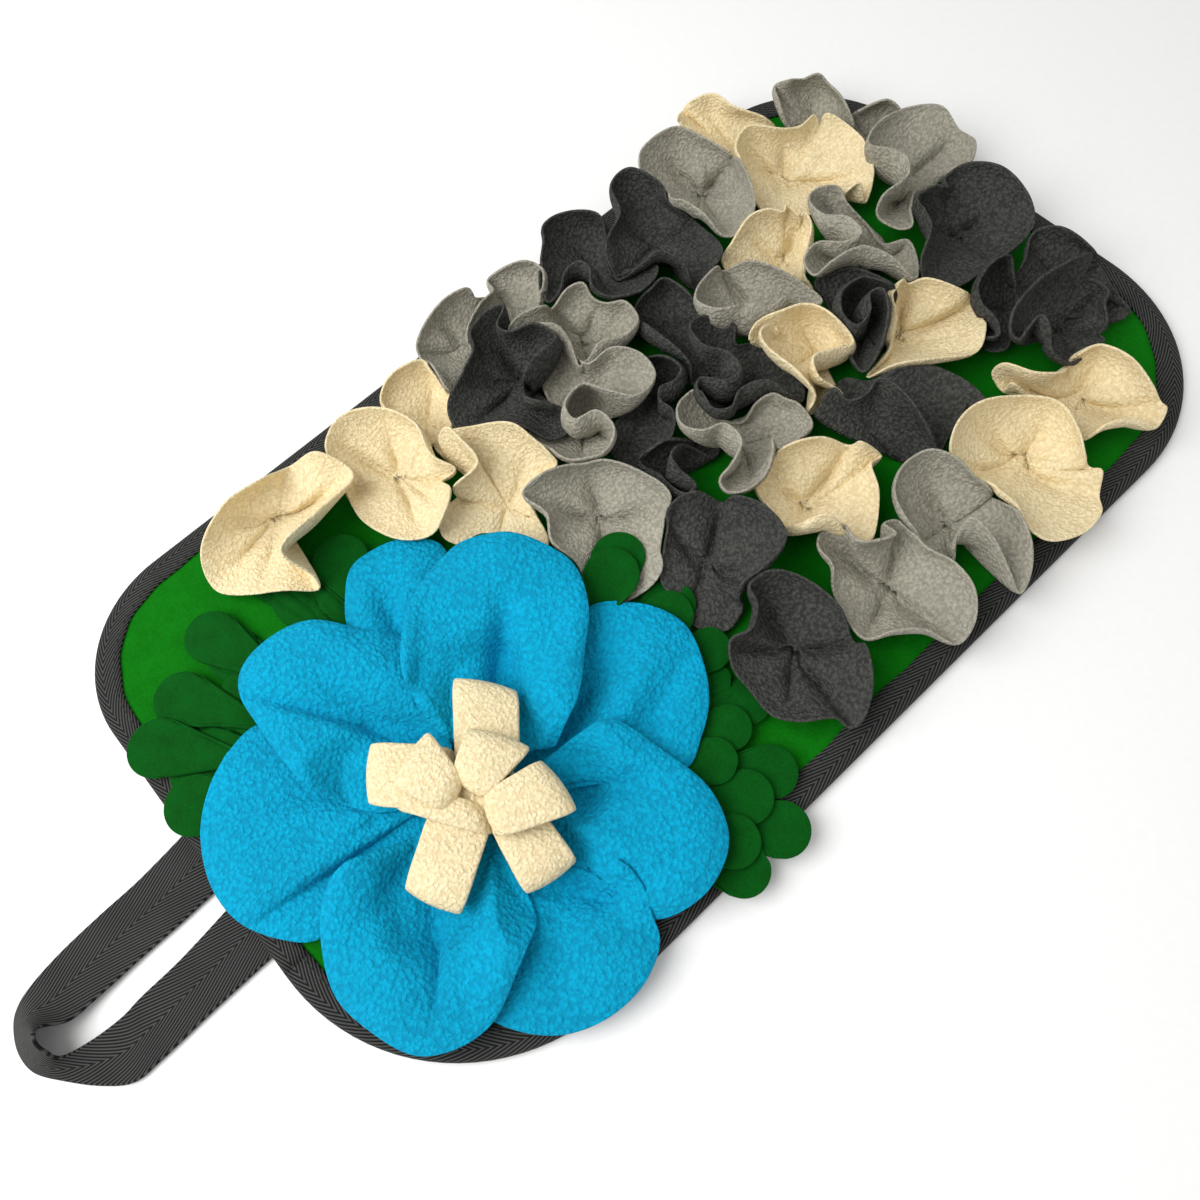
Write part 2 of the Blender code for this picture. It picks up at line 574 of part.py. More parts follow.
def inside_edge(x, y):
    """The distance in from the mat's edge, which is negative outside it."""
    for centre_x, centre_y, radius, _ in corner_centres():
        if x * centre_x > 0 and y * centre_y > 0:
            beyond_x = (x - centre_x) * np.sign(centre_x)
            beyond_y = (y - centre_y) * np.sign(centre_y)
            if beyond_x > 0 and beyond_y > 0:
                return radius - hypot(beyond_x, beyond_y)
            return radius - max(beyond_x, beyond_y)
    return min(MAT_WIDTH / 2 - abs(x), MAT_LENGTH / 2 - abs(y))


def panel_top(x, y):
    rise = np.clip((LIFT_START - inside_edge(x, y)) / (LIFT_START - LIFT_END), 0, 1)
    return PANEL_THICKNESS + PANEL_LIFT * rise


def lowest(x, y, thickness):
    """The lowest height for the middle of a cloth there: it rises to pass over the binding."""
    rise = np.clip((CLIMB_START - inside_edge(x, y)) / (CLIMB_START - LIFT_END), 0, 1)
    over_panel = panel_top(x, y) + GAP
    return over_panel + rise * (BINDING_TOP + EDGE_CLEARANCE - over_panel) + thickness / 2


def between(a, b, c, d, share):
    """A point of a centripetal Catmull-Rom curve, this share of the way from b to c."""
    knots = [0.0]
    for near, far in ((a, b), (b, c), (c, d)):
        knots.append(knots[-1] + max(np.linalg.norm(far - near), TINY) ** 0.5)
    t = knots[1] + share * (knots[2] - knots[1])

    def mix(p, q, start, end):
        return ((end - t) * p + (t - start) * q) / (end - start)

    first = mix(a, b, knots[0], knots[1])
    second = mix(b, c, knots[1], knots[2])
    third = mix(c, d, knots[2], knots[3])
    early = mix(first, second, knots[0], knots[2])
    late = mix(second, third, knots[1], knots[3])
    return mix(early, late, knots[1], knots[2])


def smooth_edge(rows, closed):
    """Points along a smooth curve through the rows, at most about EDGE_STEP apart."""
    count = len(rows)
    spans = count if closed else count - 1
    points = []
    for index in range(spans):
        if closed:
            four = [rows[(index + shift) % count] for shift in (-1, 0, 1, 2)]
        else:
            four = [rows[min(max(index + shift, 0), count - 1)] for shift in (-1, 0, 1, 2)]
        steps = max(1, round(np.linalg.norm(four[2] - four[1]) / EDGE_STEP))
        points += [between(*four, step / steps) for step in range(steps)]
    if not closed:
        points.append(rows[-1])
    return np.array(points)


class Cloth:
    """One piece of cloth: rings of points from its sewn point out to its edge."""

    def __init__(self, name, colour, anchor, edge, closed, thickness, ring_shares):
        self.name = name
        self.colour = colour
        self.anchor = anchor
        self.closed = closed
        self.thickness = thickness
        self.shares = ring_shares
        self.planes = []
        self.edge = edge
        self.lay()

    def lay(self):
        """Lays the cloth from its sewn point out to its edge."""
        ring = self.bowl if self.closed else self.tongue
        self.rings = np.array([ring(share) for share in self.shares])

    def tongue(self, share):
        """A ring of a cloth that opens to one side, arched like a petal if it is one."""
        points = self.anchor + share * (self.edge - self.anchor)
        if self.name.startswith("petal"):
            points[:, 2] += PETAL_ARCH * 4 * share * (1 - share)
        return points

    def bowl(self, share):
        """A ring of a cloth that opens all round: it runs out low, then rises, with its slack outside."""
        chord = self.edge - self.anchor
        length = np.linalg.norm(chord, axis=1)
        steep = np.clip(chord[:, 2] / length, 0, 1)
        run = 1 - (1 - share) ** (1 + BOWL * steep)
        points = self.anchor + run[:, None] * chord
        points[:, 2] = self.anchor[2] + share**RISE * chord[:, 2]
        slack = np.sqrt(SLACK_SHARE * length * np.maximum(CLOTH_RADIUS - length, 0)) / 2
        belly = np.minimum(slack, MOST_BELLY) * 4 * share * (1 - share) * steep
        outward = chord * (1, 1, 0)
        outward /= np.maximum(np.linalg.norm(outward, axis=1, keepdims=True), 1)
        return points + outward * belly[:, None]

    def meet_neighbours(self):
        """Leans the edge on the planes that it comes near, so that neighbours touch."""
        margin = self.thickness / 2 + GAP / 2
        for normal, offset in self.planes:
            room = offset - margin - self.edge @ normal
            near = (room > 0) & (room < MEETING_REACH)
            self.edge = self.edge + np.where(near, room, 0)[:, None] * normal * (1, 1, 0)
        self.lay()

    def clear(self):
        """Moves the cloth to its own side of every plane, and above what lies under it."""
        margin = self.thickness / 2 + GAP / 2
        for _ in range(CLEARING_ROUNDS):
            for normal, offset in self.planes:
                over = np.maximum(self.rings @ normal - offset + margin, 0)
                if self.closed:
                    self.rings -= over[..., None] * normal
                elif abs(normal[2]) > LEVEL:
                    self.rings[..., 2] -= over / normal[2]
            for point in self.rings.reshape(-1, 3):
                point[2] = max(point[2], lowest(point[0], point[1], self.thickness))
                if self.name.startswith("petal"):
                    point[2] = min(point[2], ceiling(point))
        self.draw_in(margin)

    def draw_in(self, margin):
        """Draws what is past a plane in toward the sewn point, inner rings along with outer ones."""
        arms = self.rings - self.anchor
        shares = np.ones(arms.shape[:2])
        for normal, offset in self.planes:
            room = offset - margin - self.anchor @ normal
            reach = arms @ normal
            held = np.minimum(shares, room / np.maximum(reach, TINY))
            shares = np.where(reach > room, held, shares)
        reach = shares * np.linalg.norm(arms, axis=2)
        for ring in reversed(range(len(reach) - 1)):
            most = reach[ring + 1] * self.shares[ring] / self.shares[ring + 1]
            shares[ring] *= np.minimum(1, most / np.maximum(reach[ring], TINY))
            reach[ring] = np.minimum(reach[ring], most)
        self.rings = self.anchor + arms * shares[..., None]
        for ring, row in enumerate(self.rings):
            for place, point in enumerate(row):
                point[2] = max(point[2], lowest(point[0], point[1], self.thickness))
                point[2] += UNEVENNESS * ((ring + place) % 2)

    def triangles(self):
        """Triangles of one face, as (ring, place) pairs. Ring -1 is the sewn point."""
        count = self.rings.shape[1]
        spans = count if self.closed else count - 1
        found = []
        for place in range(spans):
            after = (place + 1) % count
            found.append(((-1, 0), (0, place), (0, after)))
            for ring in range(len(self.rings) - 1):
                corners = ((ring, place), (ring + 1, place), (ring + 1, after), (ring, after))
                found.append((corners[0], corners[1], corners[2]))
                found.append((corners[0], corners[2], corners[3]))
        return found

    def solid(self):
        """Points and faces of the cloth with its thickness, which a tongue has straight up and down."""
        count = self.rings.shape[1]
        middle = np.vstack((self.anchor[None], self.rings.reshape(-1, 3)))
        faces = [[1 + ring * count + place if ring >= 0 else 0 for ring, place in triangle]
                 for triangle in self.triangles()]
        normals = np.zeros_like(middle)
        for a, b, c in faces:
            normal = np.cross(middle[b] - middle[a], middle[c] - middle[a])
            normals[[a, b, c]] += normal / max(np.linalg.norm(normal), TINY)
        normals /= np.maximum(np.linalg.norm(normals, axis=1, keepdims=True), TINY)
        if normals[0, 2] < 0:
            normals = -normals
            faces = [face[::-1] for face in faces]
        normals[0 if self.closed else slice(None)] = (0, 0, 1)
        half = np.full(len(middle), self.thickness / 2)
        half[0] = SEWN_HALF
        for ring, share in enumerate(self.shares):
            squeeze = min(1, share / SQUEEZED_SHARE)
            half[1 + ring * count:1 + (ring + 1) * count] = (
                SEWN_HALF + (self.thickness / 2 - SEWN_HALF) * squeeze
            )
        offset = normals * half[:, None]
        points = np.vstack((middle + offset, middle - offset))
        shift = len(middle)
        whole = faces + [[corner + shift for corner in face[::-1]] for face in faces]
        for start, end in boundary(faces):
            whole += [[end, start, start + shift], [end, start + shift, end + shift]]
        return points, whole


def boundary(faces):
    """The edges that only one face has, each in its face's own direction."""
    edges = {(face[i], face[(i + 1) % 3]) for face in faces for i in range(3)}
    return [edge for edge in sorted(edges) if edge[::-1] not in edges]


def ceiling(point):
    """The greatest height of a petal there, so that it passes under the stamens."""
    centre = on_photo(*FLOWER_CENTRE, FLOWER_CEILING)
    return FLOWER_CEILING + CEILING_SLOPE * max(0.0, hypot(*(point - centre)[:2]) - CEILING_RADIUS)


def part_sheets(first, second):
    """Adds to both cloths the plane between them that moves them least."""
    low = np.maximum(first.rings.min((0, 1)), second.rings.min((0, 1)))
    high = np.minimum(first.rings.max((0, 1)), second.rings.max((0, 1)))
    if (low - high > FLEECE_THICKNESS + GAP).any():
        return
    across = second.anchor - first.anchor
    heading = atan2(across[1], across[0])
    turns = heading + np.radians(np.arange(-WIDEST_TURN, WIDEST_TURN + 1, TURN_STEP))
    tilts = np.radians(np.arange(-90, 91, TILT_STEP))
    turn, tilt = (grid.ravel() for grid in np.meshgrid(turns, tilts))
    normals = np.stack((np.cos(turn) * np.cos(tilt), np.sin(turn) * np.cos(tilt), np.sin(tilt)), 1)
    near = normals @ first.rings.reshape(-1, 3).T
    far = normals @ second.rings.reshape(-1, 3).T
    start = normals @ first.anchor + first.thickness / 2 + GAP
    end = normals @ second.anchor - second.thickness / 2 - GAP
    best = (np.inf, None, None)
    for share in np.linspace(0, 1, PLANE_PLACES):
        offset = start + share * (end - start)
        near_over = np.maximum(near - offset[:, None] + first.thickness / 2 + GAP / 2, 0)
        far_over = np.maximum(offset[:, None] - far + second.thickness / 2 + GAP / 2, 0)
        cost = (near_over**2).sum(1) + (far_over**2).sum(1)
        cost[start > end] = np.inf
        index = int(cost.argmin())
        if cost[index] < best[0]:
            best = (cost[index], normals[index], offset[index])
    cost, normal, offset = best
    if normal is None:
        raise ValueError(f"{first.name} and {second.name} are sewn on too near each other")
    first.planes.append((normal, offset))
    second.planes.append((-normal, -offset))


def shaped(name, colour, sewn, rows, closed, thickness, ring_shares):
    u, v, lift = sewn
    anchor = on_photo(u, v, PANEL_THICKNESS)
    while inside_edge(anchor[0], anchor[1]) < SEWN_MARGIN:
        anchor[:2] *= SEWN_STEP
    anchor[2] = panel_top(anchor[0], anchor[1]) + SEWN_HEIGHT + lift
    edge = np.array([on_photo(*row) for row in rows])
    if closed:
        arms = edge - anchor
        length = np.linalg.norm(arms, axis=1, keepdims=True)
        edge = anchor + arms * np.minimum(1, CLOTH_RADIUS / length)
    return Cloth(name, colour, anchor, smooth_edge(edge, closed), closed, thickness, ring_shares)


def all_cloths():
    cloths = []
    for name, (colour, (u, v), rows) in ROSETTES.items():
        cloths.append(shaped(name, colour, (u, v, 0), rows, True, FLEECE_THICKNESS, ROSETTE_RINGS))
    for name, (colour, sewn, rows) in PETALS.items():
        cloths.append(shaped(name, colour, sewn, rows, False, FLEECE_THICKNESS, PETAL_RINGS))
    for name, (colour, sewn, rows) in LEAVES.items():
        cloths.append(shaped(name, colour, sewn, rows, False, FELT_THICKNESS, LEAF_RINGS))
    for first, second in combinations(cloths, 2):
        part_sheets(first, second)
    for cloth in cloths:
        if cloth.closed:
            cloth.meet_neighbours()
        cloth.clear()
    return cloths


def skin(loops, round_trip):
    """Points and faces of a body through these loops of points, capped unless it comes round."""
    size = len(loops[0])
    faces = []
    for index in range(len(loops) if round_trip else len(loops) - 1):
        here = index * size
        there = (index + 1) % len(loops) * size
        for place in range(size):
            after = (place + 1) % size
            faces.append((here + place, here + after, there + after, there + place))
    if not round_trip:
        faces.append(tuple(reversed(range(size))))
        faces.append(tuple(range((len(loops) - 1) * size, len(loops) * size)))
    return [point for loop in loops for point in loop], faces


def ribbon(rows, thickness):
    """Loops of a flat strip through rows of its (left, right) edge points."""
    rows = np.array(rows)
    middle = rows.mean(1)
    along = np.gradient(middle, axis=0)
    up = np.cross(rows[:, 1] - rows[:, 0], along)
    up *= thickness / 2 / np.linalg.norm(up, axis=1, keepdims=True)
    return [(left + rise, right + rise, right - rise, left - rise)
            for (left, right), rise in zip(rows, up)]


def add_object(name, colour, points, faces):
    """Makes the object, with its faces turned outward."""
    mesh = bpy.data.meshes.new(name)
    mesh.from_pydata([tuple(float(value) * MM for value in point) for point in points], [], faces)
    mesh.validate()
    if volume(mesh) < 0:
        mesh.flip_normals()
    mesh.materials.append(material(colour))
    thing = bpy.data.objects.new(name, mesh)
    bpy.context.scene.collection.objects.link(thing)
    return thing


def volume(mesh):
    mesh.calc_loop_triangles()
    total = 0.0
    for triangle in mesh.loop_triangles:
        a, b, c = (mesh.vertices[index].co for index in triangle.vertices)
        total += a.dot(b.cross(c)) / 6
    return total


def material(name):
    """A plain surface in one of COLOURS."""
    found = bpy.data.materials.get(name)
    if found:
        return found
    (red, green, blue), roughness = COLOURS[name]
    made = bpy.data.materials.new(name)
    made.use_nodes = True
    shader = made.node_tree.nodes["Principled BSDF"]
    shader.inputs["Base Color"].default_value = (red, green, blue, 1)
    shader.inputs["Roughness"].default_value = roughness
    return made


def add_panel():
    """The felt sheet: flat on the ground, and lifted along its edge by the tape under it."""
    loops = [outline(LIFT_START, 0), outline(LIFT_END, PANEL_LIFT)]
    loops.append(outline(TAPE_THICKNESS + GAP, PANEL_LIFT))
    loops += [[(x, y, z + PANEL_THICKNESS) for x, y, z in loop] for loop in reversed(loops)]
    add_object("panel", "bright_green", *skin(loops, False))


def add_binding():
    """The tape folded round the panel's edge."""
    section = (
        (0, 0), (BINDING_WIDTH, 0), (BINDING_WIDTH, TAPE_THICKNESS), (TAPE_THICKNESS, TAPE_THICKNESS),
        (TAPE_THICKNESS, BINDING_TOP - TAPE_THICKNESS), (BINDING_WIDTH, BINDING_TOP - TAPE_THICKNESS),
        (BINDING_WIDTH, BINDING_TOP), (0, BINDING_TOP),
    )
    loops = [outline(inset, height) for inset, height in section]
    add_object("binding", "tape", *skin(loops, True))


def add_handle():
    rows = [(on_photo(*outer), on_photo(*inner)) for outer, inner in HANDLE_ROWS]
    add_object("handle", "tape", *skin(ribbon(rows, 2 * TAPE_THICKNESS), False))


def stamen_loop(base, root_left, root_right, fold_left, fold_right):
    """Rows of a strip that runs out from the centre, folds over and comes back above itself."""
    profile = (  # share of the way out, height above the loop's base
        (-0.1, 0.0), (0.55, 0.0), (0.9, 0.6), (1.0, 3.2), (0.9, 6.2), (0.55, 7.4), (-0.1, 6.8),
    )
    rows = []
    for share, rise in profile:
        height = STAMEN_BASE + FLEECE_THICKNESS / 2 + base + rise
        row = []
        for root, fold in ((root_left, fold_left), (root_right, fold_right)):
            start = on_photo(*root, height)
            row.append(start + share * (on_photo(*fold, height) - start))
        rows.append(row)
    return rows


def add_stamens():
    """A fleece strip folded out and back into flat loops, and sewn through at the centre."""
    loops = []
    for name, row in STAMEN_LOOPS.items():
        points, faces = skin(ribbon(stamen_loop(*row), FLEECE_THICKNESS), False)
        loops.append(add_object(f"stamen_{name}", "cream", points, faces))
    centre = on_photo(*FLOWER_CENTRE, STAMEN_BASE)
    core = []
    for reach, height in STAMEN_CORE:
        turns = [side * 2 * pi / CORE_SIDES for side in range(CORE_SIDES)]
        core.append([(centre[0] + reach * cos(a), centre[1] + reach * sin(a), height) for a in turns])
    stamens = add_object("stamens", "cream", *skin(core, False))
    for loop in loops:
        union = stamens.modifiers.new(loop.name, "BOOLEAN")
        union.operation = "UNION"
        union.object = loop
        loop.hide_render = True
        loop.display_type = "WIRE"


def main():
    for thing in list(bpy.data.objects):
        bpy.data.objects.remove(thing)
    add_panel()
    add_binding()
    add_handle()
    add_stamens()
    for cloth in all_cloths():
        points, faces = cloth.solid()
        add_object(cloth.name, cloth.colour, points, faces)


main()
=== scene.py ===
"""How the snuffle mat looks: detailed cloth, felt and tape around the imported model.

Sizes are in millimetres here and become metres when a mesh is made. A row (u, v, height) is a point
of a cloth: its pixel in the photograph, which is 1200 pixels square, and its height above the
ground. on_photo() turns it into a place on the mat.
"""

from itertools import combinations
from math import atan2, cos, hypot, pi, radians, sin

import bpy
import numpy as np
from mathutils import Matrix, Vector


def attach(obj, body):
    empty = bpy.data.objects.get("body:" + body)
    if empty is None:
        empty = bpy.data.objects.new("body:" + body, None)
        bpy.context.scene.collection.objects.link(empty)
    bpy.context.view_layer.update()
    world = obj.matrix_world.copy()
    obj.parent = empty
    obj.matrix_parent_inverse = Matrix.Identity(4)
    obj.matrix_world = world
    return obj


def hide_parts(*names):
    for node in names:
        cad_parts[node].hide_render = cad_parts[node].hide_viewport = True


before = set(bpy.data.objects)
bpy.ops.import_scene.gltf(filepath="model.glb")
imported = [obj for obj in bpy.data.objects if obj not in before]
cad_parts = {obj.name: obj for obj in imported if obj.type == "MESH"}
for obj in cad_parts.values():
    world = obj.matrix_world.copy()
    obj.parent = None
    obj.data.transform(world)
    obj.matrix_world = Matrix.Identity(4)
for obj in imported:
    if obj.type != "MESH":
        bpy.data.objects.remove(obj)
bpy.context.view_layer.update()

MM = 0.001
BODY = "root"
TINY = 1e-9

# The panel and its binding
MAT_WIDTH = 280.0
MAT_LENGTH = 491.0
CORNER_RADII = (92.0, 80.0, 68.0, 57.0)  # near right, far right, far left, near left
CORNER_STEPS = 25
SIDE_STEP = 7.0
PANEL_THICKNESS = 2.2
TAPE_THICKNESS = 0.95
BINDING_WIDTH = 12.0
GAP = 0.3  # between layers
PANEL_LIFT = TAPE_THICKNESS + GAP  # of the panel's rim, above the tape folded under it
BINDING_TOP = PANEL_LIFT + PANEL_THICKNESS + GAP + TAPE_THICKNESS
LIFT_START = 26.0  # distances in from the edge, between which the panel rises
LIFT_END = 14.0
PANEL_INSETS = (50, 38, LIFT_START, 20, LIFT_END, 8, 3, TAPE_THICKNESS + GAP)  # of its rings of points
PANEL_WAVE = 0.25

# The cloth
FLEECE_THICKNESS = 1.8
FELT_THICKNESS = 1.6
CLOTH_RADIUS = 45.0  # of the circle that each rosette is cut from
SEWN_HALF = 0.5  # half the thickness where it is sewn down
SEWN_HEIGHT = GAP + SEWN_HALF
SEWN_MARGIN = 21.0  # least distance from a sewn point to the mat's edge
SEWN_STEP = 0.99  # how far a sewn point nearer than that is drawn in at a time
SQUEEZED_SHARE = 0.3  # of the way out, where it reaches its full thickness
RISE = 1.4  # power of the share of the way out, with which a rosette rises
BOWL = 0.5  # how much sooner a steep rosette runs out than it rises
MOST_BELLY = 6.0  # how far a rosette's slack stands outward at most
ARC = 0.375  # the square of a shallow arc's rise, over its span times its slack
PUFF = 4.0  # rise of the cloth between the folds gathered at a rosette's sewn point
PUFF_SHARE = 0.24  # of the way out, where it is highest
FOLDS = 4
LEAST_FOLDS = 3  # traced folds that do in place of those
FOLD_WIDTH = 0.3  # radians
FOLD_FADE = 0.75  # how much shallower a pressed fold is at its far end
RIM_SHARE = 0.65  # of the thickness, left at a cut edge
RIM_START = 0.85  # of the way out, where it begins to thin
PETAL_ARCH = {"upper": 8.0, "lower": 5.0}
PETAL_RIPPLE = 0.15  # share of the arch that ripples from side to side
PETAL_RIPPLES = 9  # radians of the ripple, to each side
PETAL_FILL = 0.8  # of the box round a petal or a leaf's lobe, that its cloth fills
EDGE_CLEARANCE = 1.0
CLIMB_START = 22.0
FLOWER_CENTRE = (480, 792)
FLOWER_CEILING = 11.3  # for petals, under the stamens
CEILING_DROPS = {"petal_upper_top": 0.0, "upper": 2.5, "lower": 4.5}  # lower petals pass lower
CEILING_REACH = 15.0  # of that height, to each side of a loop's middle line
CEILING_SLOPE = 0.9  # beyond that reach
LEAF_ROOT = 3.6  # height of a leaf's first root
LEAF_SHARE = 0.32  # of the way to the flower's centre, to a lobe's root
LEAF_STACK = 0.25  # height of a lobe's root above the last one's
LEAF_TURN = 2.1  # radians, round a lobe's tip to each side
LEAF_ROWS = 15  # along a lobe's edge
LEAF_TILT = 0.6  # height of a lobe's tip over its middle

# The stamens
STAMEN_BASE = 13.6
STAMEN_LIFT = 9.5
STAMEN_THICKNESS = 2.4
STAMEN_CROWN = -1.2  # how far a strip's middle stands out from its edges
STAMEN_STEPS = 60  # along a loop
STAMEN_RIM = 1.2  # width of the strip's edge that gets a painted highlight, as a cut edge
STAMEN_HIGHLIGHT = 0.8  # how strong that painted highlight is
CORE_RADIUS = 12.0
CORE_HEIGHT = 11.0

# The tape and its stitches
TURN_START = 0.35  # radians, of the half circle that the tape makes round the panel's edge
TAPE_WAVES = ((0.35, 9.0, 0), (0.25, 3.7, 1))  # size, pitch and phase of how its inner edges wander
HANDLE_THICKNESS = 1.5
HANDLE_STEPS = 260
HANDLE_ENDS = 0.15  # of a row's spacing, by which the strap runs on past its rows
STITCH_INSET = 9.6
STITCH_LENGTH = 3.0
STITCH_GAP = 1.4
STITCH_RADIUS = 0.28
STITCH_SIDES = 6
STITCH_RISE = 0.05
STITCH_SHAPE = ((0, 0.2), (0.2, 0.9), (0.5, 1.0), (0.8, 0.9), (1, 0.2))  # share along, thickness

# The camera that took the photograph
CAMERA_PLACE = np.array((141.9, -129.9, 383.5))
CAMERA_HEADING = radians(-57.95)  # from +Y toward +X
CAMERA_TILT = radians(-68.86)
CAMERA_ROLL = radians(11.01)
CAMERA_FOCUS = 930.2  # in pixels
PHOTO_SIZE = 1200
PHOTO_MIDDLE = 600
SENSOR = 36.0

# The surroundings, in metres and watts
SKY = 0.6
KEY_LIGHT = ((-0.25, -0.55, 0.75), 0.9, 9.0)  # place, width, power
FLOOR_HALF = 6.0
FLOOR_DROP = 0.0003

# kind: whether it opens all round, its thickness, the steps along its edge, and where its rings are
# as shares of the way out
KINDS = {
    "rosette": (True, FLEECE_THICKNESS, 144, np.linspace(0.06, 1, 16)),
    "petal": (False, FLEECE_THICKNESS, 110, np.linspace(0.04, 1, 28)),
    "leaf": (False, FELT_THICKNESS, 40, np.linspace(0.1, 1, 8)),
}
COARSE_STEPS = 18
COARSE_RINGS = (0.5, 1)
ROUNDING = 5  # steps round a cut edge
CURVE_STEPS = 12  # of a smooth line, from row to row
STRIP_STEPS = 13  # points across one face of a strip
STEEP_SIDE = 3.5  # how much steeper a step's steep side is

# How neighbouring cloths are parted and pushed
PLANE_TURNS = np.radians(np.arange(-75, 76, 15))
PLANE_TILTS = np.radians(np.arange(-90, 91, 10))
PLANE_SHARES = np.linspace(0, 1, 13)
PLANE_ROUNDS = 40
SETTLE_ROUNDS = 60
SETTLE_PUSHES = 2  # in each round
SETTLE_PULL = 0.25  # share of the way to its traced place, in each round
SETTLE_STEP = 0.9  # most that it moves there in a round
SETTLE_APART = 2.3  # distance between the points of two cloths that are pushed no more
SETTLE_FROM = 0.2  # share of the way out, from which cloths push each other
CELL_KEYS = np.array((1, 4096, 4096 * 4096))
HALF_AROUND = [(x, y, z) for x in (-1, 0, 1) for y in (-1, 0, 1) for z in (-1, 0, 1)
               if (z, y, x) >= (0, 0, 0)]

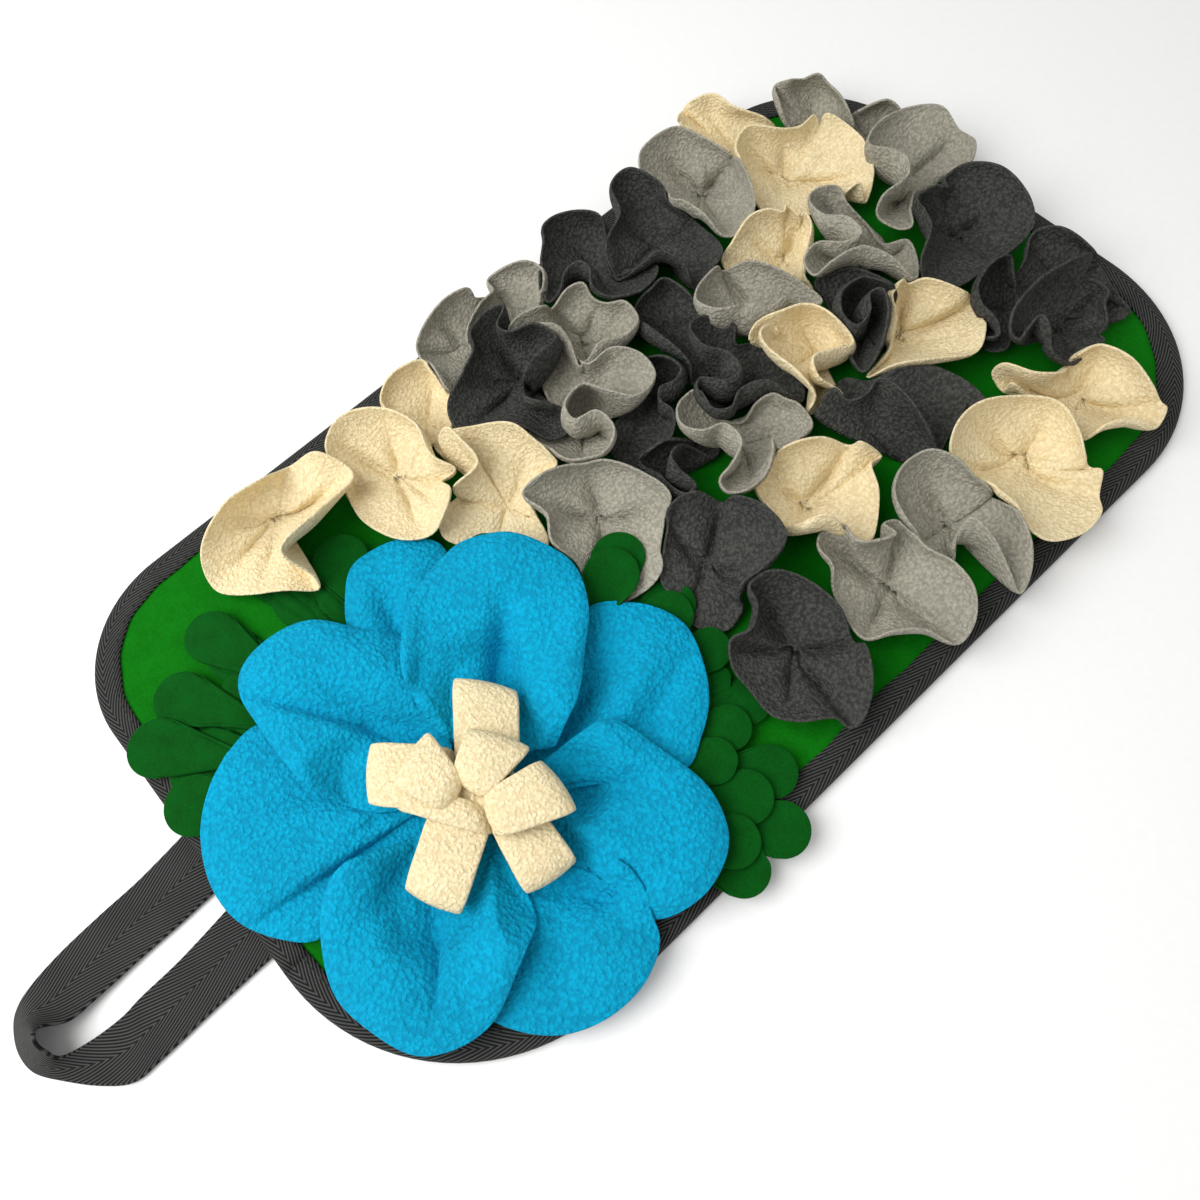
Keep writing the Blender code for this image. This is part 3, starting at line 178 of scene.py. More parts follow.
# node: colour, sewn point u and v, and the edge's rows (u, v, height) clockwise in the photograph
ROSETTES = {
    "rosette_01": ("cream", 283, 522, (
        (202, 555, 16), (222, 507, 28), (262, 480, 24), (290, 468, 12), (318, 453, 24), (353, 474, 18),
        (320, 510, 30), (281, 551, 34), (316, 578, 18), (320, 591, 10), (288, 590, 15), (217, 590, 8),
    )),
    "rosette_02": ("cream", 402, 483, (
        (326, 445, 22), (340, 418, 26), (378, 408, 28), (415, 424, 28), (432, 456, 24), (455, 469, 20),
        (442, 481, 14), (450, 490, 24), (444, 514, 22), (432, 534, 16), (400, 539, 14), (365, 522, 12),
        (350, 500, 10), (341, 480, 12),
    )),
    "rosette_03": ("cream", 428, 428, (
        (382, 402, 18), (388, 380, 24), (405, 366, 26), (424, 361, 24), (440, 380, 20), (452, 402, 14),
        (450, 428, 12), (430, 445, 10), (402, 425, 12),
    )),
    "rosette_04": ("cream", 508, 509, (
        (470, 548, 5), (444, 537, 8), (441, 512, 12), (458, 498, 9), (454, 487, 20), (478, 463, 26),
        (458, 437, 30), (447, 428, 30), (439, 440, 24), (446, 457, 14), (434, 446, 12), (436, 424, 18),
        (470, 428, 22), (512, 424, 30), (532, 438, 26), (557, 464, 18), (530, 482, 14), (528, 500, 14),
        (548, 545, 8), (520, 560, 5),
    )),
    "rosette_05": ("light_grey", 603, 523, (
        (523, 494, 24), (543, 474, 28), (575, 464, 24), (602, 460, 24), (640, 472, 24), (670, 495, 22),
        (661, 540, 12), (661, 572, 12), (640, 594, 8), (603, 604, 6), (577, 563, 14), (552, 541, 20),
        (547, 514, 22),
    )),
    "rosette_06": ("dark_grey", 706, 573, (
        (660, 575, 10), (667, 532, 14), (668, 508, 20), (695, 492, 22), (722, 503, 14), (733, 496, 24),
        (765, 507, 30), (786, 536, 30), (766, 565, 28), (740, 587, 26), (742, 610, 9), (728, 630, 6),
        (702, 630, 6), (680, 610, 6),
    )),
    "rosette_07": ("dark_grey", 790, 655, (
        (749, 585, 28), (770, 571, 28), (800, 577, 26), (838, 606, 24), (853, 642, 14), (865, 645, 22),
        (872, 685, 20), (861, 722, 14), (850, 728, 12), (836, 718, 16), (800, 721, 18), (772, 715, 14),
        (750, 690, 12), (733, 668, 14), (731, 640, 20), (752, 628, 26), (757, 603, 28),
    )),
    "rosette_08": ("light_grey", 886, 594, (
        (818, 547, 20), (824, 529, 18), (840, 525, 22), (862, 542, 28), (896, 534, 26), (884, 524, 20),
        (903, 521, 18), (925, 547, 22), (955, 564, 24), (974, 590, 24), (973, 625, 22), (957, 644, 18),
        (925, 630, 22), (895, 631, 22), (866, 639, 16), (848, 622, 14), (833, 590, 14), (832, 565, 20),
    )),
    "rosette_09": ("light_grey", 945, 530, (
        (894, 490, 22), (903, 466, 26), (930, 450, 28), (958, 460, 26), (976, 479, 22), (993, 489, 20),
        (990, 497, 12), (1017, 511, 24), (1031, 545, 22), (1028, 580, 18), (1019, 594, 16),
        (1009, 572, 22), (992, 537, 30), (972, 517, 34), (958, 534, 26), (951, 561, 14), (925, 545, 16),
        (903, 515, 22),
    )),
    "rosette_10": ("cream", 1014, 469, (
        (951, 455, 20), (955, 428, 26), (975, 405, 28), (1010, 397, 26), (1058, 402, 26), (1077, 427, 26),
        (1085, 458, 22), (1088, 468, 16), (1101, 471, 22), (1098, 495, 14), (1101, 512, 18),
        (1085, 533, 18), (1050, 542, 18), (1030, 530, 20), (1012, 502, 22), (985, 483, 20),
        (968, 473, 12),
    )),
    "rosette_11": ("cream", 1072, 404, (
        (992, 374, 16), (1003, 364, 24), (1035, 373, 26), (1062, 373, 22), (1068, 366, 14),
        (1080, 354, 22), (1100, 345, 26), (1130, 358, 28), (1153, 388, 24), (1160, 403, 18),
        (1166, 408, 20), (1155, 428, 18), (1135, 419, 24), (1108, 424, 22), (1083, 440, 14),
        (1068, 430, 6), (1040, 405, 10), (1028, 396, 14), (1012, 383, 22), (1003, 392, 10),
    )),
    "rosette_12": ("cream", 803, 513, (
        (755, 487, 14), (768, 462, 20), (790, 445, 26), (822, 438, 28), (849, 446, 22), (860, 442, 28),
        (881, 457, 18), (871, 464, 22), (878, 492, 22), (870, 541, 14), (850, 536, 20), (828, 515, 32),
        (786, 528, 22), (770, 508, 14),
    )),
    "rosette_13": ("dark_grey", 896, 462, (
        (815, 417, 18), (829, 383, 28), (848, 401, 26), (866, 394, 28), (880, 379, 32), (908, 398, 36),
        (928, 430, 28), (938, 452, 16), (950, 432, 12), (966, 405, 18), (957, 402, 12), (997, 397, 20),
        (990, 372, 24), (975, 353, 24), (930, 355, 20), (895, 368, 20), (868, 382, 14), (845, 378, 12),
    )),
    "rosette_14": ("dark_grey", 1056, 334, (
        (1092, 256, 20), (1065, 264, 28), (1035, 284, 32), (1013, 312, 30), (1011, 334, 26),
        (1019, 340, 26), (1029, 327, 28), (1041, 315, 30), (1050, 328, 30), (1051, 350, 24),
        (1066, 363, 18), (1085, 357, 16), (1103, 341, 16), (1098, 334, 12), (1106, 325, 16),
        (1104, 303, 20), (1108, 291, 20), (1093, 280, 20), (1075, 281, 12),
    )),
    "rosette_15": ("cream", 896, 343, (
        (892, 294, 26), (903, 280, 28), (908, 284, 22), (925, 279, 26), (962, 291, 24), (978, 301, 16),
        (985, 330, 22), (976, 352, 20), (935, 359, 22), (900, 365, 22), (867, 378, 14), (888, 352, 17),
        (896, 320, 20),
    )),
    "rosette_16": ("dark_grey", 862, 330, (
        (893, 286, 30), (865, 277, 30), (842, 292, 30), (843, 316, 28), (858, 326, 26), (870, 310, 28),
        (870, 293, 30), (882, 289, 32), (888, 305, 30), (880, 348, 26), (864, 372, 20), (851, 358, 18),
        (836, 330, 10), (826, 300, 12), (815, 283, 16), (850, 268, 20),
    )),
    "rosette_17": ("dark_grey", 953, 243, (
        (917, 198, 28), (935, 186, 30), (947, 188, 26), (945, 178, 22), (965, 165, 26), (1000, 167, 28),
        (1028, 195, 26), (1033, 225, 20), (1005, 255, 20), (984, 270, 18), (955, 288, 14), (925, 282, 18),
        (921, 262, 24), (931, 228, 30), (925, 212, 28),
    )),
    "rosette_18": ("light_grey", 910, 192, (
        (868, 140, 28), (880, 122, 26), (912, 108, 24), (942, 108, 26), (958, 130, 20), (975, 142, 22),
        (970, 162, 18), (935, 178, 12), (915, 192, 16), (911, 208, 20), (911, 229, 22), (897, 246, 26),
        (878, 243, 28), (867, 222, 28), (881, 198, 30), (908, 175, 32), (905, 157, 32), (888, 149, 32),
        (872, 146, 30),
    )),
    "rosette_19": ("light_grey", 815, 122, (
        (775, 87, 22), (790, 81, 26), (803, 80, 22), (818, 74, 26), (828, 84, 22), (845, 104, 24),
        (853, 130, 16), (835, 140, 8), (805, 140, 6), (788, 125, 12), (779, 103, 20),
    )),
    "rosette_20": ("cream", 742, 138, (
        (678, 120, 20), (683, 112, 14), (690, 103, 22), (712, 94, 26), (735, 108, 24), (765, 119, 18),
        (775, 130, 10), (745, 150, 8), (715, 148, 12), (698, 136, 16), (682, 126, 16),
    )),
    "rosette_21": ("cream", 786, 184, (
        (736, 145, 26), (748, 127, 28), (780, 129, 26), (800, 127, 24), (815, 116, 24), (820, 132, 16),
        (825, 115, 24), (848, 127, 22), (872, 155, 22), (879, 185, 18), (873, 206, 14), (862, 183, 26),
        (847, 192, 22), (840, 208, 10), (800, 216, 8), (765, 214, 8), (752, 195, 14),
    )),
    "rosette_22": ("light_grey", 702, 201, (
        (641, 172, 22), (642, 150, 26), (675, 128, 28), (702, 138, 26), (731, 157, 20), (727, 165, 12),
        (737, 158, 24), (751, 185, 26), (754, 210, 22), (738, 234, 20), (724, 238, 22), (706, 217, 28),
        (685, 202, 30), (672, 200, 28), (652, 182, 20),
    )),
    "rosette_23": ("dark_grey", 655, 248, (
        (611, 185, 30), (628, 169, 32), (655, 180, 30), (680, 208, 22), (697, 224, 14), (722, 252, 22),
        (712, 270, 18), (694, 290, 16), (686, 268, 28), (660, 251, 34), (640, 266, 24), (617, 280, 14),
        (606, 245, 20), (620, 212, 26),
    )),
    "rosette_24": ("cream", 783, 272, (
        (722, 262, 14), (732, 243, 20), (750, 217, 26), (768, 210, 28), (784, 212, 26), (786, 206, 26),
        (799, 217, 22), (797, 230, 14), (804, 212, 24), (811, 224, 22), (806, 252, 18), (803, 272, 14),
        (812, 292, 8), (790, 300, 4), (750, 290, 5),
    )),
    "rosette_25": ("light_grey", 865, 258, (
        (846, 203, 20), (838, 188, 24), (818, 189, 26), (809, 199, 28), (822, 214, 30), (848, 218, 32),
        (861, 234, 32), (845, 242, 30), (816, 244, 26), (804, 262, 24), (812, 277, 24), (832, 262, 30),
        (862, 247, 34), (893, 259, 30), (914, 280, 22), (917, 262, 16), (907, 241, 18), (884, 245, 16),
        (866, 225, 12),
    )),
    "rosette_26": ("light_grey", 750, 335, (
        (696, 300, 28), (700, 284, 26), (718, 267, 24), (723, 272, 18), (750, 262, 26), (790, 276, 24),
        (822, 302, 18), (800, 308, 20), (786, 297, 28), (772, 306, 28), (745, 305, 32), (715, 309, 32),
    )),
    "rosette_27": ("cream", 815, 355, (
        (749, 340, 20), (757, 322, 24), (780, 312, 28), (808, 304, 28), (835, 318, 28), (853, 343, 22),
        (832, 350, 26), (813, 358, 30), (818, 376, 26), (842, 396, 14), (825, 408, 8), (807, 414, 16),
        (815, 396, 24), (795, 370, 30), (765, 345, 28), (760, 333, 30), (768, 326, 28), (778, 334, 20),
        (770, 320, 18),
    )),
    "rosette_28": ("dark_grey", 668, 335, (
        (637, 305, 18), (648, 291, 24), (664, 279, 24), (690, 296, 24), (698, 310, 18), (704, 330, 12),
        (712, 352, 10), (706, 382, 10), (692, 384, 14), (690, 365, 22), (680, 352, 26), (660, 336, 26),
        (640, 323, 22), (630, 335, 10),
    )),
    "rosette_29": ("dark_grey", 735, 395, (
        (735, 345, 16), (734, 324, 22), (712, 315, 26), (690, 325, 30), (703, 345, 30), (728, 353, 30),
        (741, 370, 30), (728, 380, 30), (700, 379, 28), (697, 390, 28), (714, 409, 28), (731, 408, 28),
        (741, 389, 28), (768, 381, 30), (790, 398, 24), (803, 400, 14), (800, 380, 12), (770, 360, 10),
        (755, 345, 12),
    )),
    "rosette_30": ("light_grey", 742, 447, (
        (677, 410, 24), (683, 426, 28), (703, 431, 30), (725, 424, 30), (741, 440, 30), (733, 463, 28),
        (720, 480, 24), (726, 492, 22), (745, 491, 24), (766, 473, 26), (773, 448, 28), (772, 440, 28),
        (780, 450, 16), (800, 438, 20), (812, 426, 20), (803, 409, 22), (776, 392, 24), (757, 403, 20),
        (742, 423, 14), (720, 418, 14), (697, 391, 22), (684, 398, 22),
    )),
    "rosette_31": ("light_grey", 585, 425, (
        (655, 376, 28), (637, 396, 30), (605, 390, 32), (583, 384, 32), (565, 405, 32), (574, 420, 30),
        (596, 411, 30), (614, 428, 30), (606, 451, 26), (575, 461, 24), (545, 447, 20), (530, 433, 14),
        (540, 420, 10), (548, 402, 12), (540, 378, 13), (548, 354, 14), (568, 352, 16), (588, 364, 24),
        (612, 348, 28), (640, 354, 28),
    )),
    "rosette_32": ("dark_grey", 527, 388, (
        (449, 402, 20), (463, 372, 24), (474, 348, 26), (470, 333, 28), (485, 313, 30), (504, 306, 28),
        (497, 326, 28), (510, 332, 30), (535, 324, 32), (556, 338, 32), (535, 358, 34), (523, 378, 34),
        (526, 397, 32), (548, 404, 28), (564, 411, 22), (569, 430, 18), (552, 440, 18), (512, 423, 22),
        (468, 435, 18), (451, 420, 18),
    )),
    "rosette_33": ("light_grey", 478, 352, (
        (417, 345, 20), (425, 325, 24), (445, 300, 26), (468, 289, 24), (475, 298, 18), (490, 300, 10),
        (500, 330, 8), (480, 365, 8), (450, 393, 16), (436, 374, 22), (420, 357, 20),
    )),
    "rosette_34": ("light_grey", 515, 315, (
        (488, 280, 18), (505, 268, 22), (524, 262, 24), (538, 266, 22), (544, 274, 22), (540, 300, 14),
        (530, 318, 8), (500, 340, 6), (474, 352, 14), (467, 335, 20), (480, 305, 24), (493, 291, 22),
    )),
    "rosette_35": ("light_grey", 583, 350, (
        (509, 330, 20), (520, 316, 24), (545, 306, 26), (552, 309, 20), (568, 289, 26), (583, 284, 28),
        (592, 298, 24), (605, 304, 24), (625, 302, 26), (638, 320, 26), (625, 336, 26), (600, 343, 28),
        (587, 362, 22), (580, 367, 22), (568, 338, 28), (555, 325, 26), (530, 325, 18),
    )),
    "rosette_36": ("dark_grey", 655, 400, (
        (645, 362, 20), (665, 357, 26), (681, 368, 26), (676, 380, 24), (660, 388, 26), (660, 400, 24),
        (674, 412, 22), (672, 435, 16), (655, 462, 9), (628, 468, 8), (610, 448, 8), (618, 420, 9),
        (640, 395, 10),
    )),
    "rosette_37": ("dark_grey", 596, 272, (
        (541, 262, 22), (544, 240, 24), (543, 227, 26), (560, 214, 28), (598, 215, 26), (606, 236, 20),
        (615, 276, 14), (640, 270, 16), (657, 266, 22), (655, 284, 26), (640, 296, 28), (605, 297, 30),
        (592, 286, 32), (589, 268, 32), (580, 262, 32), (566, 271, 30), (560, 290, 24), (548, 302, 14),
        (541, 290, 16),
    )),
    "rosette_38": ("dark_grey", 1062, 285, (
        (1034, 232, 20), (1060, 228, 24), (1092, 250, 20), (1100, 270, 8), (1118, 297, 14),
        (1129, 313, 10), (1112, 323, 6), (1085, 320, 5), (1050, 310, 6), (1020, 300, 8), (1012, 285, 12),
        (1024, 262, 16),
    )),
    "rosette_39": ("dark_grey", 1003, 312, (
        (1010, 257, 26), (992, 263, 30), (978, 285, 28), (981, 304, 26), (996, 320, 24), (998, 336, 22),
        (986, 338, 20), (975, 330, 10), (985, 350, 10), (1005, 350, 12), (1012, 330, 14), (1016, 300, 12),
        (1013, 275, 20),
    )),
    "rosette_40": ("light_grey", 880, 135, (
        (853, 116, 16), (868, 107, 22), (888, 101, 24), (899, 111, 20), (892, 125, 12), (870, 140, 8),
        (860, 135, 10),
    )),
    "rosette_41": ("dark_grey", 672, 480, (
        (690, 441, 18), (665, 441, 26), (650, 450, 24), (640, 463, 14), (660, 476, 18), (674, 489, 20),
        (689, 494, 20), (695, 485, 22), (680, 470, 26), (671, 457, 28), (677, 447, 26), (692, 449, 16),
        (715, 456, 8), (722, 441, 8), (702, 436, 12),
    )),
}

# node: sewn point (u, v, lift over the panel), and edge rows (u, v, height) from side to side
PETALS = {
    "petal_upper_top": ((492, 762, 3.2), (
        (450, 738, 18), (426, 720, 21), (404, 676, 24), (402, 640, 24), (412, 600, 22), (432, 571, 19),
        (458, 545, 20), (482, 536, 21), (510, 533, 22), (545, 545, 21), (574, 566, 20), (588, 607, 21),
        (584, 650, 21), (576, 700, 21), (553, 742, 19),
    )),
    "petal_lower_top": ((476, 762, 0), (
        (446, 736, 7), (405, 690, 7.5), (375, 660, 8), (350, 632, 9), (346, 600, 11), (352, 568, 12),
        (375, 550, 11), (405, 539, 11), (440, 545, 9), (455, 580, 7.5), (470, 650, 7.5), (482, 700, 7.5),
    )),
    "petal_upper_left": ((458, 784, 3.2), (
        (452, 745, 10.5), (432, 690, 7.5), (406, 640, 7.5), (368, 632, 11.5), (310, 621, 15),
        (268, 640, 15.5), (243, 668, 15.5), (240, 692, 14.5), (258, 724, 15.5), (300, 778, 17.5),
        (335, 800, 17.5), (372, 809, 17.5), (430, 800, 15.5),
    )),
    "petal_lower_left": ((462, 800, 0), (
        (400, 770, 7.5), (310, 745, 7.5), (260, 725, 8), (230, 752, 9), (208, 795, 10), (202, 838, 10),
        (212, 885, 10), (238, 920, 10), (280, 938, 9), (320, 938, 8.5), (370, 880, 7.5), (420, 840, 7.5),
    )),
    "petal_upper_bottom": ((478, 812, 3.2), (
        (430, 822, 17), (385, 848, 19), (340, 868, 20), (324, 900, 18), (322, 940, 16), (336, 995, 15),
        (368, 1028, 15), (415, 1054, 14.5), (455, 1048, 14.5), (492, 1022, 16), (516, 972, 19),
        (533, 920, 20), (518, 880, 18),
    )),
    "petal_lower_bottom": ((494, 808, 0), (
        (480, 900, 7.5), (470, 960, 7.5), (485, 1012, 9), (520, 1030, 10), (565, 1033, 10),
        (610, 1015, 11), (645, 980, 12), (659, 940, 12), (652, 915, 14), (641, 882, 17), (620, 860, 18),
        (595, 857, 17), (560, 874, 13), (530, 880, 10),
    )),
    "petal_upper_right": ((508, 796, 3.2), (
        (522, 858, 8), (565, 872, 6), (610, 884, 6), (652, 918, 11), (700, 897, 17), (724, 860, 17),
        (727, 830, 17), (708, 788, 17), (665, 753, 18), (615, 721, 20), (600, 722, 20), (560, 742, 18),
        (528, 768, 16),
    )),
    "petal_lower_right": ((502, 772, 0), (
        (520, 742, 7.5), (560, 690, 7.5), (580, 640, 8), (590, 608, 9), (625, 603, 11), (655, 608, 12),
        (685, 626, 13), (703, 665, 13), (708, 702, 12), (700, 738, 11), (686, 768, 10), (620, 780, 7.5),
        (560, 790, 7.5),
    )),
}

# node: its lobes, as (tip centre u, v, radius in pixels, tip height), those below first
LEAVES = {
    "leaf_left": (
        (245, 692, 22, 5), (235, 655, 26, 5), (225, 715, 26, 5), (200, 770, 28, 5.5), (212, 637, 26, 6.5),
        (215, 752, 25, 6), (182, 699, 27, 7.5), (158, 748, 29, 9), (196, 805, 30, 9),
    ),
    "leaf_upper_left": (
        (345, 596, 26, 5), (300, 600, 26, 5), (272, 578, 23, 3.8), (300, 578, 24, 5), (392, 564, 24, 6.5),
        (341, 562, 28, 9.5),
    ),
    "leaf_top": ((485, 557, 24, 6), (618, 558, 27, 10.5), (611, 575, 28, 13)),
    "leaf_upper_right": ((668, 606, 27, 6.5), (667, 616, 26, 8.5)),
    "leaf_right": (
        (712, 681, 19, 5.5), (708, 650, 23, 7), (746, 702, 24, 6), (727, 728, 24, 8), (713, 761, 24, 10),
    ),
    "leaf_lower_right": (
        (769, 772, 28, 8), (781, 829, 29, 9.5), (742, 869, 28, 8.5), (745, 797, 28, 10.5),
        (733, 841, 27, 11),
    ),
}

# name: base height, the strip's two edges at the centre (u, v), and at the outer fold (u, v)
STAMEN_LOOPS = {
    "top": (0.0, (455, 775), (520, 765), (452, 680), (519, 694)),
    "right_low": (0.0, (535, 800), (486, 822), (577, 858), (524, 893)),
    "bottom_left": (0.0, (500, 800), (436, 790), (463, 913), (404, 886)),
    "left": (0.0, (450, 812), (448, 745), (371, 806), (373, 742)),
    "top_right": (STAMEN_LIFT, (452, 768), (488, 796), (466, 730), (531, 750)),
    "right": (STAMEN_LIFT, (486, 790), (503, 838), (538, 760), (576, 812)),
    "top_left": (STAMEN_LIFT, (440, 812), (462, 775), (394, 786), (430, 732)),
    "left_low": (4.5, (488, 836), (474, 800), (404, 812), (386, 780)),
}

# The way a strip is folded: share of the way out, height above its base, share of the width
STAMEN_PROFILE = (
    (-0.1, 0, 0.8), (0.3, 0, 0.95), (0.6, 0, 1), (0.86, 0.3, 1), (0.97, 1.6, 0.97), (1, 3.6, 0.95),
    (0.97, 5.6, 0.97), (0.86, 7.2, 1), (0.62, 7.9, 1), (0.35, 7.7, 1), (0.14, 6.9, 0.97), (0.02, 5, 0.92),
    (-0.04, 2.4, 0.85),
)

# The handle's strap: its outer edge and its inner edge, as (u, v, height), from end to end
HANDLE_ROWS = (
    ((184, 834, 1.6), (214, 893, 1.6)), ((140, 879, 1.6), (183, 922, 1.6)),
    ((100, 915, 2), (142, 958, 2)), ((60, 953, 3), (100, 996, 3.5)), ((33, 983, 6), (68, 1022, 7)),
    ((20, 1003, 5), (42, 1027, 14)), ((15, 1022, 1.5), (34, 1032, 20)), ((18, 1048, 1.5), (36, 1043, 20)),
    ((32, 1070, 3), (46, 1051, 16)), ((60, 1080, 3), (60, 1056, 8)), ((100, 1086, 2), (90, 1041, 3.5)),
    ((136, 1082, 1.6), (122, 1017, 2)), ((160, 1062, 1.6), (140, 998, 1.6)),
    ((215, 1010, 1.6), (180, 960, 1.6)), ((272, 958, 1.6), (232, 904, 1.6)),
)

# Folds pressed into the cloth, in groups from one point: u, v, and for each fold the (u, v) where it
# ends, its depth in millimetres and its half width in pixels. A negative depth is a ridge. Each is
# deepest where it starts. A fifth value makes a step of it, whose gentle side is on the right (1) or
# left (-1) going that way.
FOLD_LINES = {
    "rosette_01": [
        (283, 522, (325, 495, 5.1, 5), (325, 482, -3.4, 6), (240, 560, 5.1, 6), (215, 520, 3.4, 6),
         (262, 585, 3.4, 7)),
    ],
    "rosette_02": [
        (402, 483, (340, 445, 5.1, 6), (390, 440, 3.4, 6), (430, 495, 5.1, 6), (415, 520, 3.4, 6)),
        (355, 492, (395, 485, 5.1, 7)), (402, 483, (420, 430, -3.4, 6)),
    ],
    "rosette_05": [
        (603, 525, (605, 560, 5.1, 6), (560, 510, 3.4, 7), (650, 510, 3.4, 7), (590, 480, 3.4, 7)),
    ],
    "rosette_06": [
        (706, 573, (720, 515, 5.1, 6), (672, 533, 5.1, 6), (745, 573, 5.1, 6), (690, 610, 3.4, 6)),
    ],
    "rosette_07": [
        (790, 655, (757, 590, 5.1, 7), (850, 645, 5.1, 6), (835, 700, 5.1, 6), (735, 645, 5.1, 6),
         (790, 700, 3.4, 6)),
    ],
    "rosette_08": [
        (886, 594, (840, 550, 5.1, 7), (898, 545, 3.4, 7), (940, 625, 5.1, 7), (870, 630, 3.4, 7)),
    ],
    "rosette_09": [(945, 530, (925, 480, 5.1, 7), (905, 500, 3.4, 7))],
    "rosette_10": [
        (1014, 469, (988, 428, 6.8, 7), (975, 470, 5.1, 6), (1028, 459, 5.1, 5), (1060, 490, 5.1, 8),
         (1050, 420, 3.4, 9)),
    ],
    "rosette_11": [(1072, 404, (1015, 380, 5.1, 7), (1150, 418, 5.1, 6), (1100, 360, 3.4, 8))],
    "rosette_12": [(803, 513, (845, 452, 6.8, 6), (785, 490, 5.1, 6), (840, 490, 3.4, 6))],
    "rosette_14": [(1056, 334, (1100, 293, 5.1, 6), (1104, 333, 5.1, 5))],
    "rosette_15": [
        (895, 340, (907, 287, 5.1, 6)), (897, 340, (975, 303, 6.8, 5)), (897, 350, (925, 345, 5.1, 6)),
    ],
    "rosette_17": [(953, 242, (985, 218, 5.1, 6), (945, 225, 3.4, 6), (1000, 250, 3.4, 8))],
    "rosette_18": [(910, 180, (950, 145, 6.8, 6))],
    "rosette_21": [
        (783, 190, (747, 150, 5.1, 6), (783, 150, 5.1, 6), (855, 178, 6.8, 6), (820, 150, -3.4, 7)),
    ],
    "rosette_22": [(702, 200, (668, 163, 6.8, 6), (730, 163, 6.8, 6), (700, 160, -3.4, 6))],
    "rosette_24": [(783, 268, (797, 225, 6.8, 6), (755, 240, 5.1, 6))],
    "rosette_25": [(830, 215, (815, 200, 5.1, 6))],
    "rosette_26": [(745, 302, (720, 272, 5.1, 6))],
    "rosette_32": [(527, 388, (500, 350, 6.8, 6), (480, 420, 6.8, 6), (470, 380, 5.1, 7))],
    "rosette_33": [(470, 358, (420, 355, 5.1, 6), (440, 320, 5.1, 6))],
    "rosette_35": [(583, 348, (552, 308, 6.8, 6), (600, 305, 5.1, 6))],
    "petal_upper_top": [
        (503, 690, (505, 605, 13, 15)), (480, 700, (440, 590, -2, 22)), (525, 700, (545, 590, -2, 22)),
        (415, 690, (425, 600, 3, 12)),
    ],
    "petal_lower_top": [(404, 645, (380, 590, 7, 14)), (440, 690, (420, 560, -2, 14))],
    "petal_upper_left": [
        (412, 742, (250, 695, 9, 16, 1)), (395, 735, (325, 685, 6, 14)), (430, 780, (290, 745, -2, 20)),
        (420, 690, (330, 640, -2, 18)),
    ],
    "petal_lower_left": [
        (415, 818, (262, 918, 8, 15, -1)), (420, 805, (250, 900, -2.5, 16)), (395, 812, (350, 843, 4, 9)),
        (400, 790, (230, 800, 3, 14)),
    ],
    "petal_upper_bottom": [
        (443, 880, (437, 1005, 11, 17, 1)), (470, 880, (500, 990, -2, 22)),
        (400, 870, (350, 950, 2.5, 14)),
    ],
    "petal_lower_bottom": [
        (545, 888, (600, 900, 6, 11)), (600, 900, (632, 880, 6, 10)), (560, 868, (640, 868, -3, 10)),
        (560, 930, (560, 1000, 2, 16)),
    ],
    "petal_upper_right": [
        (560, 797, (655, 779, 6, 15)), (570, 815, (650, 862, -3, 18)), (600, 740, (650, 775, -2, 14)),
        (620, 890, (700, 850, 2, 12)),
    ],
    "petal_lower_right": [
        (560, 740, (618, 645, 7, 20)), (620, 715, (655, 640, -4, 16)), (650, 720, (690, 650, 3, 12)),
    ],
}


def unit(vectors):
    """The vectors, each made one long."""
    return vectors / np.maximum(np.linalg.norm(vectors, axis=-1, keepdims=True), TINY)


def lengths(line):
    """How far along a line each of its points is."""
    return np.concatenate(((0,), np.cumsum(np.linalg.norm(np.diff(line, axis=0), axis=1))))


def camera_axes():
    """The camera's right, down and forward directions."""
    forward = np.array((
        sin(CAMERA_HEADING) * cos(CAMERA_TILT),
        cos(CAMERA_HEADING) * cos(CAMERA_TILT),
        sin(CAMERA_TILT),
    ))
    level = np.array((cos(CAMERA_HEADING), -sin(CAMERA_HEADING), 0.0))
    right = cos(CAMERA_ROLL) * level + sin(CAMERA_ROLL) * np.cross(forward, level)
    return right, np.cross(forward, right), forward


def on_photo(u, v, height):
    """The place seen at pixel (u, v), at this height above the ground."""
    right, down, forward = camera_axes()
    sight = forward * CAMERA_FOCUS + right * (u - PHOTO_MIDDLE) + down * (v - PHOTO_MIDDLE)
    return CAMERA_PLACE + sight * (height - CAMERA_PLACE[2]) / sight[2]


def pixels(points):
    """Where points show in the photograph, as u and v."""
    right, down, forward = camera_axes()
    sight = points - CAMERA_PLACE
    depth = sight @ forward / CAMERA_FOCUS
    return sight @ right / depth + PHOTO_MIDDLE, sight @ down / depth + PHOTO_MIDDLE


def corner_centres():
    """(x, y, radius, first angle) of the four rounded corners, going round anticlockwise."""
    signs = ((1, -1, -pi / 2), (1, 1, 0.0), (-1, 1, pi / 2), (-1, -1, pi))
    for radius, (side, end, start) in zip(CORNER_RADII, signs):
        yield side * (MAT_WIDTH / 2 - radius), end * (MAT_LENGTH / 2 - radius), radius, start


